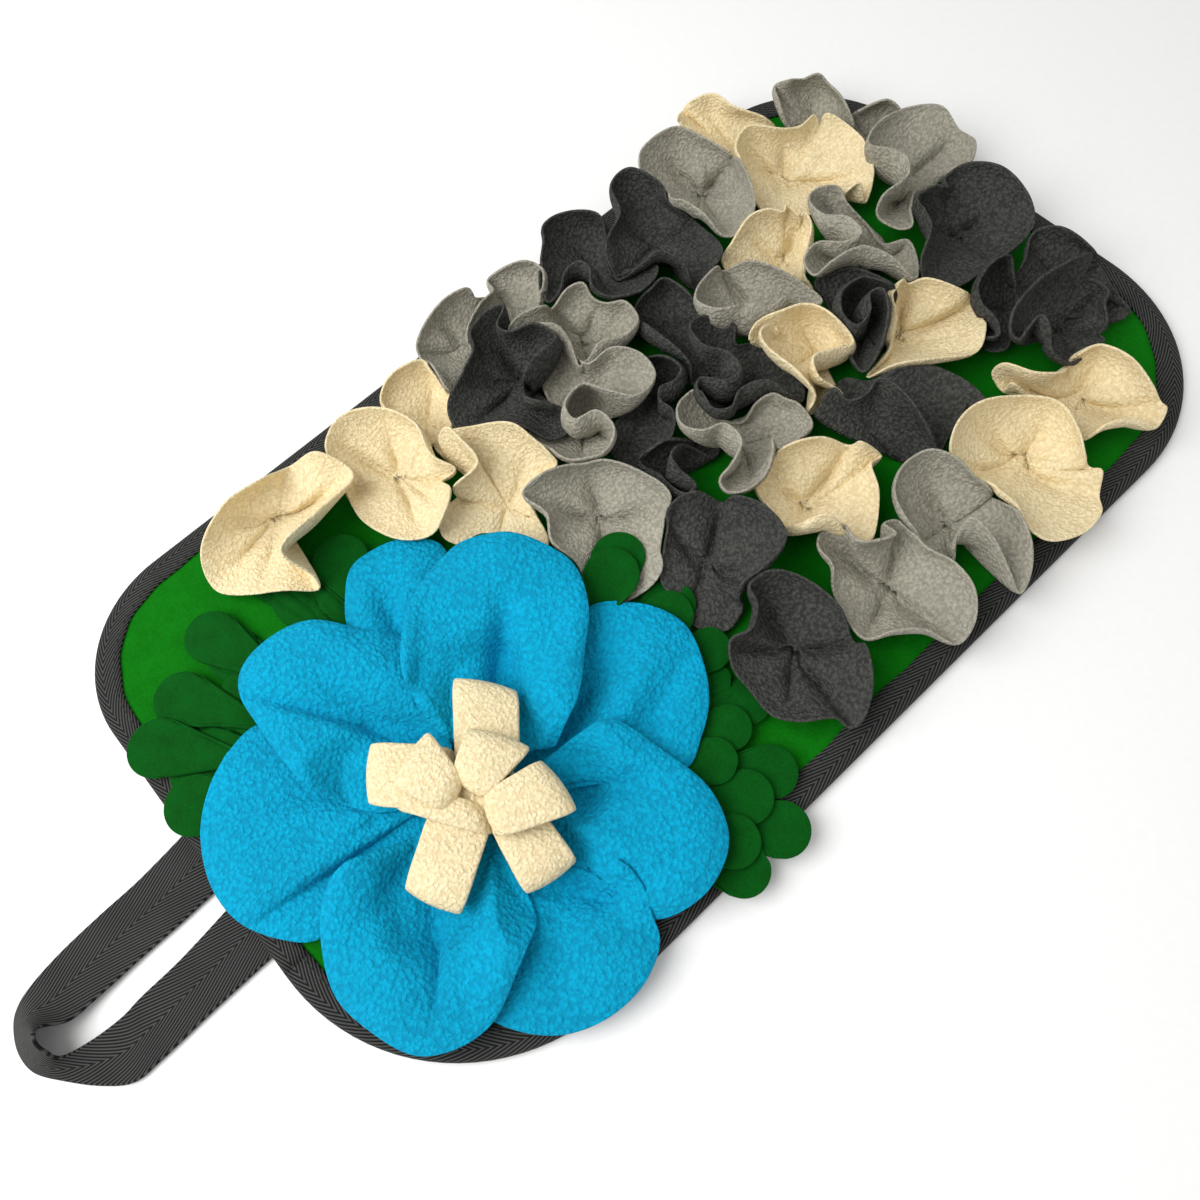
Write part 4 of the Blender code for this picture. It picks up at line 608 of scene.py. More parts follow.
def outline(inset):
    """The mat's outline, this far in from the edge, with the same number of points for every inset."""
    points = []
    corners = list(corner_centres())
    for index, (x, y, radius, start) in enumerate(corners):
        reach = radius - inset
        for angle in np.linspace(start, start + pi / 2, CORNER_STEPS):
            points.append((x + reach * cos(angle), y + reach * sin(angle)))
        next_x, next_y, next_radius, next_start = corners[(index + 1) % len(corners)]
        reach = next_radius - inset
        end = np.array((next_x + reach * cos(next_start), next_y + reach * sin(next_start)))
        begin = np.array(points[-1])
        side = MAT_LENGTH if index % 2 == 0 else MAT_WIDTH
        steps = round((side - radius - next_radius) / SIDE_STEP)
        points += [tuple(begin + (end - begin) * step / steps) for step in range(1, steps)]
    return np.array(points)


def whole_outline(inset):
    """The same outline, with its first point again at its end."""
    line = outline(inset)
    return np.vstack((line, line[:1]))


def inside_edge(x, y):
    """The distance in from the mat's edge, which is negative outside it."""
    inside = np.minimum(MAT_WIDTH / 2 - abs(x), MAT_LENGTH / 2 - abs(y))
    for centre_x, centre_y, radius, _ in corner_centres():
        beyond_x = (x - centre_x) * np.sign(centre_x)
        beyond_y = (y - centre_y) * np.sign(centre_y)
        corner = (beyond_x > 0) & (beyond_y > 0)
        inside = np.where(corner, radius - np.hypot(beyond_x, beyond_y), inside)
    return inside


def panel_top(x, y):
    """The height of the panel's upper face."""
    rise = np.clip((LIFT_START - inside_edge(x, y)) / (LIFT_START - LIFT_END), 0, 1)
    return PANEL_THICKNESS + PANEL_LIFT * rise


def lowest(x, y, thickness):
    """The lowest height for the middle of a cloth there: it rises to pass over the binding."""
    rise = np.clip((CLIMB_START - inside_edge(x, y)) / (CLIMB_START - LIFT_END), 0, 1)
    over_panel = panel_top(x, y) + GAP
    return over_panel + rise * (BINDING_TOP + EDGE_CLEARANCE - over_panel) + thickness / 2


def ceiling(points):
    """The greatest height of a petal there, so that it passes under the stamens."""
    nearest = np.full(points.shape[:-1], np.inf)
    for base, root_left, root_right, fold_left, fold_right in STAMEN_LOOPS.values():
        root, fold = ((on_photo(*left, STAMEN_BASE) + on_photo(*right, STAMEN_BASE)) / 2
                      for left, right in ((root_left, root_right), (fold_left, fold_right)))
        line = (fold - root)[:2]
        from_root = points[..., :2] - root[:2]
        share = np.clip(from_root @ line / (line @ line), 0, 1)
        reach = np.linalg.norm(from_root - share[..., None] * line, axis=-1)
        nearest = np.minimum(nearest, reach)
    return FLOWER_CEILING + CEILING_SLOPE * np.maximum(0, nearest - CEILING_REACH)


def between(a, b, c, d, share):
    """A point of a centripetal Catmull-Rom curve, this share of the way from b to c."""
    knots = [0.0]
    for near, far in ((a, b), (b, c), (c, d)):
        knots.append(knots[-1] + max(np.linalg.norm(far - near), 1e-6) ** 0.5)
    t = knots[1] + share * (knots[2] - knots[1])

    def mix(p, q, start, end):
        return ((end - t) * p + (t - start) * q) / (end - start)

    first = mix(a, b, knots[0], knots[1])
    second = mix(b, c, knots[1], knots[2])
    third = mix(c, d, knots[2], knots[3])
    early = mix(first, second, knots[0], knots[2])
    late = mix(second, third, knots[1], knots[3])
    return mix(early, late, knots[1], knots[2])


def smooth_line(rows, closed, steps):
    """This many points, evenly spaced along a smooth curve through the rows."""
    count = len(rows)
    fine = []
    for index in range(count if closed else count - 1):
        four = range(index - 1, index + 3)
        four = [rows[i % count if closed else min(max(i, 0), count - 1)].ravel() for i in four]
        fine += [between(*four, step / CURVE_STEPS) for step in range(CURVE_STEPS)]
    fine.append(rows[0 if closed else -1].ravel())
    fine = np.array(fine)
    length = lengths(fine)
    wanted = np.linspace(0, length[-1], steps + 1 if closed else steps)[:steps]
    line = np.stack([np.interp(wanted, length, column) for column in fine.T], 1)
    return line.reshape((steps, *rows.shape[1:]))


class Cloth:
    """One piece of cloth: rings of points from its sewn point out to its edge."""

    def __init__(self, name, node, slot, anchor, rows, coarse=False):
        self.name = name
        self.node = node
        self.slot = slot
        self.anchor = anchor
        self.rows = rows
        self.closed, self.thickness, steps, shares = KINDS[node.split("_")[0]]
        if coarse:
            steps, shares = COARSE_STEPS, COARSE_RINGS
        self.planes = []
        self.shares = np.array(shares)
        self.edge = smooth_line(rows, self.closed, steps)
        lay = self.bowl if self.closed else self.tongue
        self.rings = np.array([lay(share) for share in self.shares])

    def coarse(self):
        """The same cloth in a few large steps."""
        return Cloth(self.name, self.node, self.slot, self.anchor, self.rows, coarse=True)

    def tongue(self, share):
        """A ring of a cloth that opens to one side, arched like a petal if it is one."""
        points = self.anchor + share * (self.edge - self.anchor)
        kind, layer = self.node.split("_")[:2]
        if kind == "petal":
            across = np.linspace(-1, 1, len(points))
            ripple = 1 - PETAL_RIPPLE + PETAL_RIPPLE * np.cos(across * PETAL_RIPPLES)
            body = (1 - np.abs(across) ** 4) * ripple
            points[:, 2] += PETAL_ARCH[layer] * share**0.8 * (1 - share**7) * body
            drop = CEILING_DROPS.get(self.node, CEILING_DROPS[layer])
            points[:, 2] = np.minimum(points[:, 2], ceiling(points) - drop)
        return points

    def bowl(self, share):
        """A ring of a cloth that opens all round: it runs out low, then rises, with its slack outside."""
        chord = self.edge - self.anchor
        length = np.linalg.norm(chord, axis=1)
        steep = np.clip(chord[:, 2] / length, 0, 1)
        run = 1 - (1 - share) ** (1 + BOWL * steep)
        points = self.anchor + run[:, None] * chord
        points[:, 2] = self.anchor[2] + share**RISE * chord[:, 2]
        slack = np.sqrt(ARC * length * np.maximum(CLOTH_RADIUS - length, 0)) / 2
        belly = np.minimum(slack, MOST_BELLY) * 4 * share * (1 - share) * steep
        outward = chord * (1, 1, 0)
        outward /= np.maximum(np.linalg.norm(outward, axis=1, keepdims=True), 1)
        points[:, 2] += PUFF * self.puffs() * share / PUFF_SHARE * np.exp(1 - share / PUFF_SHARE)
        return points + outward * belly[:, None]

    def puffs(self):
        """How much the pinched cloth puffs up in each direction: nothing along the gathered folds."""
        u, v = pixels(self.edge)
        centre_u, centre_v = pixels(self.anchor)
        angles = np.arctan2(v - centre_v, u - centre_u)
        folds = [atan2(v1 - v0, u1 - u0) for u0, v0, u1, v1, depth, *_ in folds_of(self.node) if depth > 0]
        if len(folds) < LEAST_FOLDS:
            first = folds[0] if folds else float(angles[int(self.edge[:, 2].argmin())])
            folds = [first + turn * 2 * pi / FOLDS for turn in range(FOLDS)]
        apart = np.min([np.abs((angles - fold + pi) % (2 * pi) - pi) for fold in folds], axis=0)
        return 1 - np.exp(-apart / FOLD_WIDTH)

    def press_folds(self):
        """Presses each of the cloth's folds away from the camera, or a ridge toward it."""
        for u0, v0, u1, v1, depth, width, side in folds_of(self.node):
            u, v = pixels(self.rings)
            along = np.array((u1 - u0, v1 - v0), float)
            share = ((u - u0) * along[0] + (v - v0) * along[1]) / hypot(*along) ** 2
            held = np.clip(share, 0, 1)
            apart = np.hypot(u - u0 - held * along[0], v - v0 - held * along[1]) / width
            if side:
                right = (v - v0) * along[0] > (u - u0) * along[1]
                steep = right if side < 0 else ~right
                press = np.where(steep, np.exp(-((apart * STEEP_SIDE) ** 2)), np.exp(-apart))
            else:
                press = np.exp(-(apart**2))
            fade = (1 - FOLD_FADE * held**2) * press
            self.rings += unit(self.rings - CAMERA_PLACE) * (depth * fade)[..., None]

    def part(self):
        """A copy of the rings, on the cloth's own side of every plane."""
        margin = self.thickness / 2 + GAP
        rings = self.rings.copy()
        for _ in range(PLANE_ROUNDS):
            for normal, offset in self.planes:
                over = rings @ normal - offset + margin
                rings -= np.maximum(over, 0)[..., None] * normal
        arms = rings - self.anchor
        shares = np.ones(arms.shape[:2])
        for normal, offset in self.planes:
            room = offset - margin - self.anchor @ normal
            reach = arms @ normal
            limited = np.minimum(shares, room / np.maximum(reach, TINY))
            shares = np.where(reach > room, limited, shares)
        return self.anchor + arms * shares[..., None]


def folds_of(node):
    """(u0, v0, u1, v1, depth, half width, side) of each fold pressed into this node's cloth."""
    for start_u, start_v, *folds in FOLD_LINES.get(node, ()):
        for u, v, depth, width, *side in folds:
            yield start_u, start_v, u, v, depth, width, side[0] if side else 0


def part_sheets(first, second):
    """The plane between two coarse cloths that moves them least, or None where they are far apart."""
    low = np.maximum(first.rings.min((0, 1)), second.rings.min((0, 1)))
    high = np.minimum(first.rings.max((0, 1)), second.rings.max((0, 1)))
    if (low - high > FLEECE_THICKNESS + GAP).any():
        return None
    across = second.anchor - first.anchor
    turns = atan2(across[1], across[0]) + PLANE_TURNS
    turn, tilt = (grid.ravel() for grid in np.meshgrid(turns, PLANE_TILTS))
    normals = np.stack((np.cos(turn) * np.cos(tilt), np.sin(turn) * np.cos(tilt), np.sin(tilt)), 1)
    near = normals @ first.rings.reshape(-1, 3).T
    far = normals @ second.rings.reshape(-1, 3).T
    start = normals @ first.anchor + first.thickness / 2 + GAP
    end = normals @ second.anchor - second.thickness / 2 - GAP
    least, best = np.inf, None
    for share in PLANE_SHARES:
        offset = start + share * (end - start)
        near_over = np.maximum(near - offset[:, None] + first.thickness / 2, 0)
        far_over = np.maximum(offset[:, None] - far + second.thickness / 2, 0)
        cost = (near_over**2).sum(1) + (far_over**2).sum(1)
        cost[start > end] = np.inf
        index = int(cost.argmin())
        if cost[index] < least:
            least, best = cost[index], (normals[index], offset[index])
    return best


def close_pairs(points, reach):
    """Index pairs of the points that are in the same or in neighbouring cells of this size."""
    cells = np.floor((points - points.min(0)) / reach).astype(np.int64) + 1
    keys = cells @ CELL_KEYS
    order = np.argsort(keys, kind="stable")
    ranked = keys[order]
    firsts, seconds = [], []
    for step in HALF_AROUND:
        wanted = ranked + np.array(step) @ CELL_KEYS
        low = np.searchsorted(ranked, wanted, "left")
        high = np.searchsorted(ranked, wanted, "right")
        if step == (0, 0, 0):
            low = np.arange(len(ranked)) + 1
        counts = np.maximum(high - low, 0)
        here = np.repeat(np.arange(len(ranked)), counts)
        starts = np.repeat(np.cumsum(counts) - counts, counts)
        there = np.arange(counts.sum()) - starts + np.repeat(low, counts)
        firsts.append(order[here])
        seconds.append(order[there])
    return np.concatenate(firsts), np.concatenate(seconds)


def pushes(points, owner):
    """How far each point is pushed by the points of other cloths that are too near it."""
    first, second = close_pairs(points, SETTLE_APART)
    apart = points[second] - points[first]
    distance = np.linalg.norm(apart, axis=1)
    close = (owner[first] != owner[second]) & (distance < SETTLE_APART)
    first, second, apart, distance = first[close], second[close], apart[close], distance[close]
    push = apart * ((SETTLE_APART - distance) / 2 / np.maximum(distance, 1e-6))[:, None]
    total = len(points)
    shift = [np.bincount(second, side, total) - np.bincount(first, side, total) for side in push.T]
    count = np.bincount(first, minlength=total) + np.bincount(second, minlength=total)
    return np.stack(shift, 1) / np.maximum(np.sqrt(count), 1)[:, None]


def spread(field, closed):
    """The field over a cloth's rings, averaged a little with its neighbours."""
    if closed:
        round_about = (np.roll(field, 1, 1) + np.roll(field, -1, 1)) / 2
    else:
        padded = np.concatenate((field[:, :1], field, field[:, -1:]), 1)
        round_about = (padded[:, :-2] + padded[:, 2:]) / 2
    padded = np.concatenate((field[:1] * 0.5, field, field[-1:]))
    in_and_out = (padded[:-2] + padded[2:]) / 2
    return 0.5 * field + 0.25 * round_about + 0.25 * in_and_out


def settle(cloths):
    """Moves each cloth from its own side of the planes to its traced place, and neighbours push back."""
    moved = [cloth.part() for cloth in cloths]
    starts = [int(np.searchsorted(cloth.shares, SETTLE_FROM)) for cloth in cloths]
    outer = [rings[start:].size // 3 for rings, start in zip(moved, starts)]
    owner = np.repeat(np.arange(len(cloths)), outer)
    for _ in range(SETTLE_ROUNDS):
        for index, cloth in enumerate(cloths):
            pull = (cloth.rings - moved[index]) * SETTLE_PULL
            length = np.linalg.norm(pull, axis=-1, keepdims=True)
            moved[index] = moved[index] + pull * np.minimum(1, SETTLE_STEP / np.maximum(length, TINY))
        for _ in range(SETTLE_PUSHES):
            points = np.concatenate([rings[s:].reshape(-1, 3) for rings, s in zip(moved, starts)])
            shifts = np.split(pushes(points, owner), np.cumsum(outer)[:-1])
            for rings, start, shift in zip(moved, starts, shifts):
                rings[start:] += shift.reshape(rings[start:].shape)
        for index, cloth in enumerate(cloths):
            rings = cloth.rings + spread(moved[index] - cloth.rings, cloth.closed)
            floor = lowest(rings[..., 0], rings[..., 1], cloth.thickness)
            rings[..., 2] = np.maximum(rings[..., 2], floor)
            moved[index] = rings
    for cloth, rings in zip(cloths, moved):
        cloth.rings = rings


def traced(node, slot, sewn, rows):
    """A cloth whose sewn point and edge are traced from the photograph."""
    u, v, lift = sewn
    anchor = on_photo(u, v, PANEL_THICKNESS)
    while inside_edge(anchor[0], anchor[1]) < SEWN_MARGIN:
        anchor[:2] *= SEWN_STEP
    anchor[2] = panel_top(anchor[0], anchor[1]) + SEWN_HEIGHT + lift
    edge = np.array([on_photo(*row) for row in rows])
    if node.startswith("rosette"):
        arms = edge - anchor
        length = np.linalg.norm(arms, axis=1, keepdims=True)
        edge = anchor + arms * np.minimum(1, CLOTH_RADIUS / length)
    return Cloth(node + "_cloth", node, slot, anchor, edge)


def leaf_lobes():
    """Each leaf's rounded lobes, as tongues of felt that run out from under the flower."""
    centre = on_photo(*FLOWER_CENTRE, LEAF_ROOT)
    for node, rows in LEAVES.items():
        for index, (u, v, radius, height) in enumerate(rows, 1):
            tip = on_photo(u, v, height)
            root = tip + LEAF_SHARE * (centre - tip)
            root[2] = LEAF_ROOT + LEAF_STACK * index
            size = np.linalg.norm(on_photo(u + radius, v, height) - tip)
            ahead = atan2(tip[1] - root[1], tip[0] - root[0])
            angles = np.linspace(ahead - LEAF_TURN, ahead + LEAF_TURN, LEAF_ROWS)
            edge = [tip + (size * cos(a), size * sin(a), LEAF_TILT * cos(a - ahead)) for a in angles]
            yield Cloth(f"{node}_{index}", node, "felt_dark_green", root, np.array(edge))


def grid_faces(count, rings, closed):
    """Corners of one face of a cloth. Point 0 is the sewn point."""
    pairs = [(place, (place + 1) % count) for place in range(count if closed else count - 1)]
    faces = [(0, 1 + a, 1 + b) for a, b in pairs]
    for here in range(1, (rings - 1) * count, count):
        there = here + count
        faces += [(here + a, there + a, there + b, here + b) for a, b in pairs]
    return faces


def face_normals(points, faces):
    """The corners of all faces of three and then of four points, and normals twice their area long."""
    for size in (3, 4):
        some = np.array([face for face in faces if len(face) == size])
        if len(some):
            a, b, c, d = (points[some[:, corner]] for corner in (0, 1, 2, -1))
            yield some, np.cross(c - a, d - b)


def corner_normals(points, faces):
    """The surface's direction at each point."""
    normals = np.zeros_like(points)
    for some, normal in face_normals(points, faces):
        for corners in some.T:
            np.add.at(normals, corners, unit(normal))
    return unit(normals)


def cloth_solid(cloth):
    """Points, faces and cut-edge shares of a cloth with its thickness and rounded cut edges."""
    rings, count = cloth.rings, cloth.rings.shape[1]
    middle = np.vstack((cloth.anchor[None], rings.reshape(-1, 3)))
    faces = grid_faces(count, len(rings), cloth.closed)
    normals = corner_normals(middle, faces)
    turned = normals[0, 2] < 0
    if turned:
        normals = -normals
        faces = [face[::-1] for face in faces]
    half = SEWN_HALF + (cloth.thickness / 2 - SEWN_HALF) * np.minimum(1, cloth.shares / SQUEEZED_SHARE)
    thinned = np.maximum(cloth.shares - RIM_START, 0) / (1 - RIM_START)
    half *= 1 - (1 - RIM_SHARE) * thinned**2
    half = np.concatenate(((SEWN_HALF,), np.repeat(half, count)))[:, None]
    last = 1 + (len(rings) - 1) * count
    rim = list(range(last, last + count))
    inward = [i - count for i in rim]
    if not cloth.closed:
        side_a = list(range(1, last, count))
        side_b = [i + count - 1 for i in reversed(side_a)]
        inward = [1 + count // 2] + [i + 1 for i in side_a] + inward + [i - 1 for i in side_b]
        rim = [0] + side_a + rim + side_b
    rim = np.array(rim)
    outward = middle[rim] - middle[inward]
    outward = unit(outward - (outward * normals[rim]).sum(1, keepdims=True) * normals[rim])
    points = [middle + normals * half]
    # Share of the rounding round the cut edge, which the materials use as the mask of a painted highlight
    cut = [np.zeros(len(middle))]
    loops = [rim]
    for step in range(1, ROUNDING):
        angle = pi * step / ROUNDING
        points.append(middle[rim] + half[rim] * (outward * sin(angle) + normals[rim] * cos(angle)))
        cut.append(np.full(len(rim), sin(angle)))
        loops.append(np.arange(len(rim)) + len(middle) + (step - 1) * len(rim))
    total = sum(len(some) for some in points)
    points.append(middle - normals * half)
    cut.append(np.zeros(len(middle)))
    loops.append(rim + total)
    whole = faces + [tuple(corner + total for corner in face[::-1]) for face in faces]
    for upper, lower in zip(loops, loops[1:]):
        for place in range(len(rim)):
            after = (place + 1) % len(rim)
            side = (upper[after], upper[place], lower[place], lower[after])
            whole.append(side[::-1] if turned else side)
    return np.vstack(points), whole, np.concatenate(cut)


def skin(loops, round_trip=False):
    """Points and faces of a body through these loops of points, capped unless it comes round."""
    size = len(loops[0])
    faces = []
    for index in range(len(loops) if round_trip else len(loops) - 1):
        here = index * size
        there = (index + 1) % len(loops) * size
        for place in range(size):
            after = (place + 1) % size
            faces.append((here + place, here + after, there + after, there + place))
    if not round_trip:
        faces.append(tuple(reversed(range(size))))
        faces.append(tuple(range((len(loops) - 1) * size, len(loops) * size)))
    return np.array([point for loop in loops for point in loop]), faces


def joined(bodies):
    """Several bodies' points and faces as those of one."""
    points, faces, total = [], [], 0
    for some, sides in bodies:
        faces += [tuple(corner + total for corner in side) for side in sides]
        points.append(some)
        total += len(some)
    return np.vstack(points), faces


def add_object(name, data):
    """Puts a new object into the scene."""
    thing = bpy.data.objects.new(name, data)
    bpy.context.scene.collection.objects.link(thing)
    return thing


def add_piece(name, points, faces, node, slot, look=None, **values):
    """Makes a piece of the object, with its faces turned outward."""
    mesh = bpy.data.meshes.new(name)
    mesh.from_pydata((points * MM).tolist(), [], [tuple(int(i) for i in face) for face in faces])
    mesh.validate()
    mesh.polygons.foreach_set("use_smooth", [True] * len(mesh.polygons))
    mesh.calc_loop_triangles()
    corners = np.empty(len(mesh.loop_triangles) * 3, np.int32)
    mesh.loop_triangles.foreach_get("vertices", corners)
    a, b, c = (points[corners.reshape(-1, 3)[:, i]] for i in range(3))
    if (a * np.cross(b, c)).sum() < 0:
        mesh.flip_normals()
    for attribute, numbers in values.items():
        kind, key = ("FLOAT_VECTOR", "vector") if numbers.ndim == 2 else ("FLOAT", "value")
        made = mesh.attributes.new(attribute, kind, "POINT")
        made.data.foreach_set(key, numbers.astype(np.float32).ravel())
    mesh.materials.append(LOOKS[look or slot])
    thing = add_object(name, mesh)
    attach(thing, BODY)
    if node:
        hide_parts(node)
    return thing


def add_cloth(cloth):
    """Makes a rosette, a petal or a leaf's lobe."""
    points, faces, cut = cloth_solid(cloth)
    thing = add_piece(cloth.name, points, faces, cloth.node, cloth.slot, cut=cut)
    both_sides = sum(np.linalg.norm(normal, axis=1).sum() for _, normal in face_normals(points, faces)) / 2
    area = both_sides / 2 * MM * MM
    if cloth.closed:
        wide = long = 2 * (area / pi) ** 0.5
    else:
        long = float(np.linalg.norm(cloth.rings[-1] - cloth.anchor, axis=1).max()) * MM
        wide = area / long / PETAL_FILL


def add_cloths():
    """The rosettes, the petals and the leaves."""
    cloths = [traced(node, "fleece_" + colour, (u, v, 0), rows)
              for node, (colour, u, v, rows) in ROSETTES.items()]
    cloths += [traced(node, "fleece_blue", sewn, rows) for node, (sewn, rows) in PETALS.items()]
    coarse = [cloth.coarse() for cloth in cloths]
    for first, second in combinations(range(len(cloths)), 2):
        plane = part_sheets(coarse[first], coarse[second])
        if plane:
            normal, offset = plane
            cloths[first].planes.append((normal, offset))
            cloths[second].planes.append((-normal, -offset))
    cloths += leaf_lobes()
    for cloth in cloths:
        cloth.press_folds()
    settle(cloths)
    for cloth in cloths:
        add_cloth(cloth)


# slot: pile colour, pit colour that is painted shade in the nap's pits (both linear), pebble size and bump
# depth in mm, sheen
FLEECES = {
    "fleece_cream": ((0.93, 0.805, 0.525), (0.77, 0.63, 0.37), 1.6, 1.0, 0.1),
    "fleece_light_grey": ((0.46, 0.435, 0.355), (0.31, 0.293, 0.237), 1.6, 1.2, 0.1),
    "fleece_dark_grey": ((0.088, 0.089, 0.081), (0.040, 0.041, 0.037), 1.6, 1.5, 0.05),
    "fleece_blue": ((0.0, 0.39, 0.64), (0.0, 0.28, 0.48), 2.0, 1.3, 0.06),
}
# slot: fibre colour, pit colour (painted shade between the fibres, and the felt's own cloudy mottling),
# fibre size and bump depth in mm, sheen, how much brighter the painted highlight on a cut edge is
FELTS = {
    "felt_dark_green": ((0.0, 0.095, 0.006), (0.0, 0.05, 0.002), 0.9, 0.3, 0.0, 1.1),
    "felt_bright_green": ((0.002, 0.175, 0.003), (0.0, 0.11, 0.0), 1.1, 0.25, 0.05, 1.0),
}
TAPE = (0.074, 0.077, 0.072)
# Painted shade in the grooves between the tape's ribs.
TAPE_GROOVE_SHADE = (0.004, 0.004, 0.004)
TAPE_PITCH = 1.75  # mm, from rib to rib, of the slanted measure below
RIB_SLANT = (0.5, 1.32)  # how much the ribs' measure grows along and across the tape
THREAD_PITCH = 0.7  # mm, between the fine threads that cross the ribs
THREAD = (0.05, 0.049, 0.047)
SHEEN_ROUGHNESS = 0.45
GLOSS = 0.15


class Graph:
    """A material's nodes, made and joined in short calls."""

    def __init__(self, name):
        self.material = bpy.data.materials.new(name)
        self.material.use_nodes = True
        self.tree = self.material.node_tree
        self.shader = self.tree.nodes["Principled BSDF"]
        self.place = self.add("TexCoord").outputs["Object"]

    def add(self, kind, links=None, **settings):
        node = self.tree.nodes.new("ShaderNode" + kind)
        for key, value in settings.items():
            setattr(node, key, value)
        for key, value in (links or {}).items():
            self.set(node.inputs[key], value)
        return node

    def set(self, socket, value):
        if isinstance(value, bpy.types.NodeSocket):
            self.tree.links.new(value, socket)
        else:
            socket.default_value = value

    def attribute(self, name, output):
        return self.add("Attribute", attribute_name=name).outputs[output]

    def maths(self, operation, *values):
        return self.add("Math", dict(enumerate(values)), operation=operation).outputs[0]

    def total(self, *terms, start=0.0):
        """The sum of the start and the (value, factor) terms."""
        for value, factor in terms:
            start = self.maths("MULTIPLY_ADD", value, factor, start)
        return start

    def noise(self, size, detail=2.0, roughness=0.5, place=None, output="Fac"):
        """Noise with features of about this size in millimetres."""
        made = self.add("TexNoise", {
            "Vector": self.place if place is None else place, "Scale": 1 / (size * MM), "Detail": detail,
            "Roughness": roughness,
        })
        return made.outputs[output]

    def ramp(self, value, low, high):
        made = self.add("MapRange", {"Value": value, "From Min": low, "From Max": high})
        return made.outputs["Result"]

    def blend(self, share, first, second, mode="MIX"):
        made = self.add("Mix", data_type="RGBA", blend_type=mode)
        for place, value in ((0, share), (6, first), (7, second)):
            self.set(made.inputs[place], (*value, 1.0) if isinstance(value, tuple) else value)
        return made.outputs[2]

    def worn(self, colour, size, least, swing):
        """The colour with a slight change of shade from place to place."""
        broad = self.ramp(self.noise(size), 0.3, 0.7)
        return self.blend(1.0, colour, self.total((broad, swing), start=least), "MULTIPLY")

    def finish(self, colour, height, depth, roughness, sheen, tint):
        """The finished material, with bumps of this depth in millimetres."""
        bump = self.add("Bump", {"Height": height, "Distance": depth * MM, "Strength": 1.0})
        settings = {
            "Base Color": colour, "Normal": bump.outputs["Normal"], "Roughness": roughness,
            "Sheen Weight": sheen, "Sheen Roughness": SHEEN_ROUGHNESS, "Sheen Tint": (*tint, 1.0),
            "Specular IOR Level": GLOSS,
        }
        for key, value in settings.items():
            self.set(self.shader.inputs[key], value)
        return self.material


def fleece(name, pile, pit_shade, size, depth, sheen):
    """Brushed fleece: soft pebbles of pile with painted shade in the pits between them, a painted highlight
    along the cut edge, and a slight change of tone from place to place.
    """
    g = Graph(name)
    warp = g.noise(2.2, 1.0, output="Color")
    moved = g.add("VectorMath", {0: warp, 1: (1.3 * MM,) * 3, 2: g.place}, operation="MULTIPLY_ADD")
    moved = moved.outputs[0]
    pebble = g.add("TexVoronoi", {"Vector": moved, "Scale": 1 / (size * MM), "Smoothness": 0.6},
                   feature="SMOOTH_F1")
    round_top = g.ramp(pebble.outputs["Distance"], 0.75, 0.15)
    curls = g.noise(size * 0.62, 3.0, 0.6, moved)
    fibre = g.noise(0.35, 2.0, 0.7)
    height = g.total((round_top, 0.5), (curls, 0.75), (fibre, 0.18))
    # Painted shade: the colour is blended toward the darker pit colour where the nap is low.
    colour = g.worn(g.blend(g.ramp(height, 0.5, 0.92), pit_shade, pile), 26.0, 0.93, 0.14)
    # A painted highlight along the cut edge: the colour is blended toward the lighter pile colour there.
    rim = g.ramp(g.attribute("cut", "Fac"), 0.3, 0.8)
    colour = g.blend(g.total((rim, 0.12)), colour, pile)
    return g.finish(colour, height, depth, 0.9, sheen, pile)


def felt(name, pile, pit_shade, size, depth, sheen, edge):
    """Pressed felt: matted fibres, with cloudy patches; it darkens between the fibres as painted shade and
    in the patches as its own mottling, and a cut edge gets a painted highlight.
    """
    g = Graph(name)
    height = g.total((g.noise(size, 5.0, 0.75), 0.8), (g.noise(9.0, 4.0, 0.65), 0.5))
    # Darker where the height is low: painted shade between the fibres, and the felt's own mottling in the
    # cloudy patches.
    colour = g.blend(g.ramp(height, 0.45, 0.85), pit_shade, pile)
    # A painted highlight along the cut edge: the colour is blended toward a brighter fibre colour there.
    bright = tuple(channel * edge for channel in pile)
    colour = g.blend(g.total((g.attribute("cut", "Fac"), 0.6)), colour, bright)
    return g.finish(colour, height, depth, 0.95, sheen, pile)


def tape(name):
    """Herringbone tape: ribs that meet at its middle line, crossed by fine threads, with painted shade in
    the grooves between the ribs.
    """
    g = Graph(name)
    weave = g.add("SeparateXYZ", {"Vector": g.attribute("weave", "Vector")})
    along = weave.outputs["X"]
    across = g.maths("ABSOLUTE", weave.outputs["Y"])
    slant = g.total((along, RIB_SLANT[0]), (across, RIB_SLANT[1]))
    rib = g.maths("SINE", g.total((slant, 2 * pi / TAPE_PITCH)))
    cross = g.total((g.maths("SUBTRACT", across, along), 2 * pi / THREAD_PITCH))
    fuzz = g.noise(0.5, 3.0, 0.7)
    height = g.total((rib, 0.38), (g.maths("SINE", cross), 0.1), (fuzz, 0.25), start=0.5)
    # Painted shade: the colour is blended toward the groove colour where the weave is low.
    colour = g.worn(g.blend(g.ramp(height, 0.35, 1.0), TAPE_GROOVE_SHADE, TAPE), 18.0, 0.9, 0.2)
    return g.finish(colour, height, 0.3, 0.75, 0.1, TAPE)


def thread(name):
    """The twisted thread of the stitches."""
    g = Graph(name)
    twist = g.noise(0.4)
    colour = g.blend(twist, tuple(channel * 0.5 for channel in THREAD), THREAD)
    return g.finish(colour, twist, 0.1, 0.6, 0.1, THREAD)


LOOKS = {name: fleece(name, *row) for name, row in FLEECES.items()}
LOOKS |= {name: felt(name, *row) for name, row in FELTS.items()}
LOOKS |= {"tape": tape("tape"), "thread": thread("thread")}


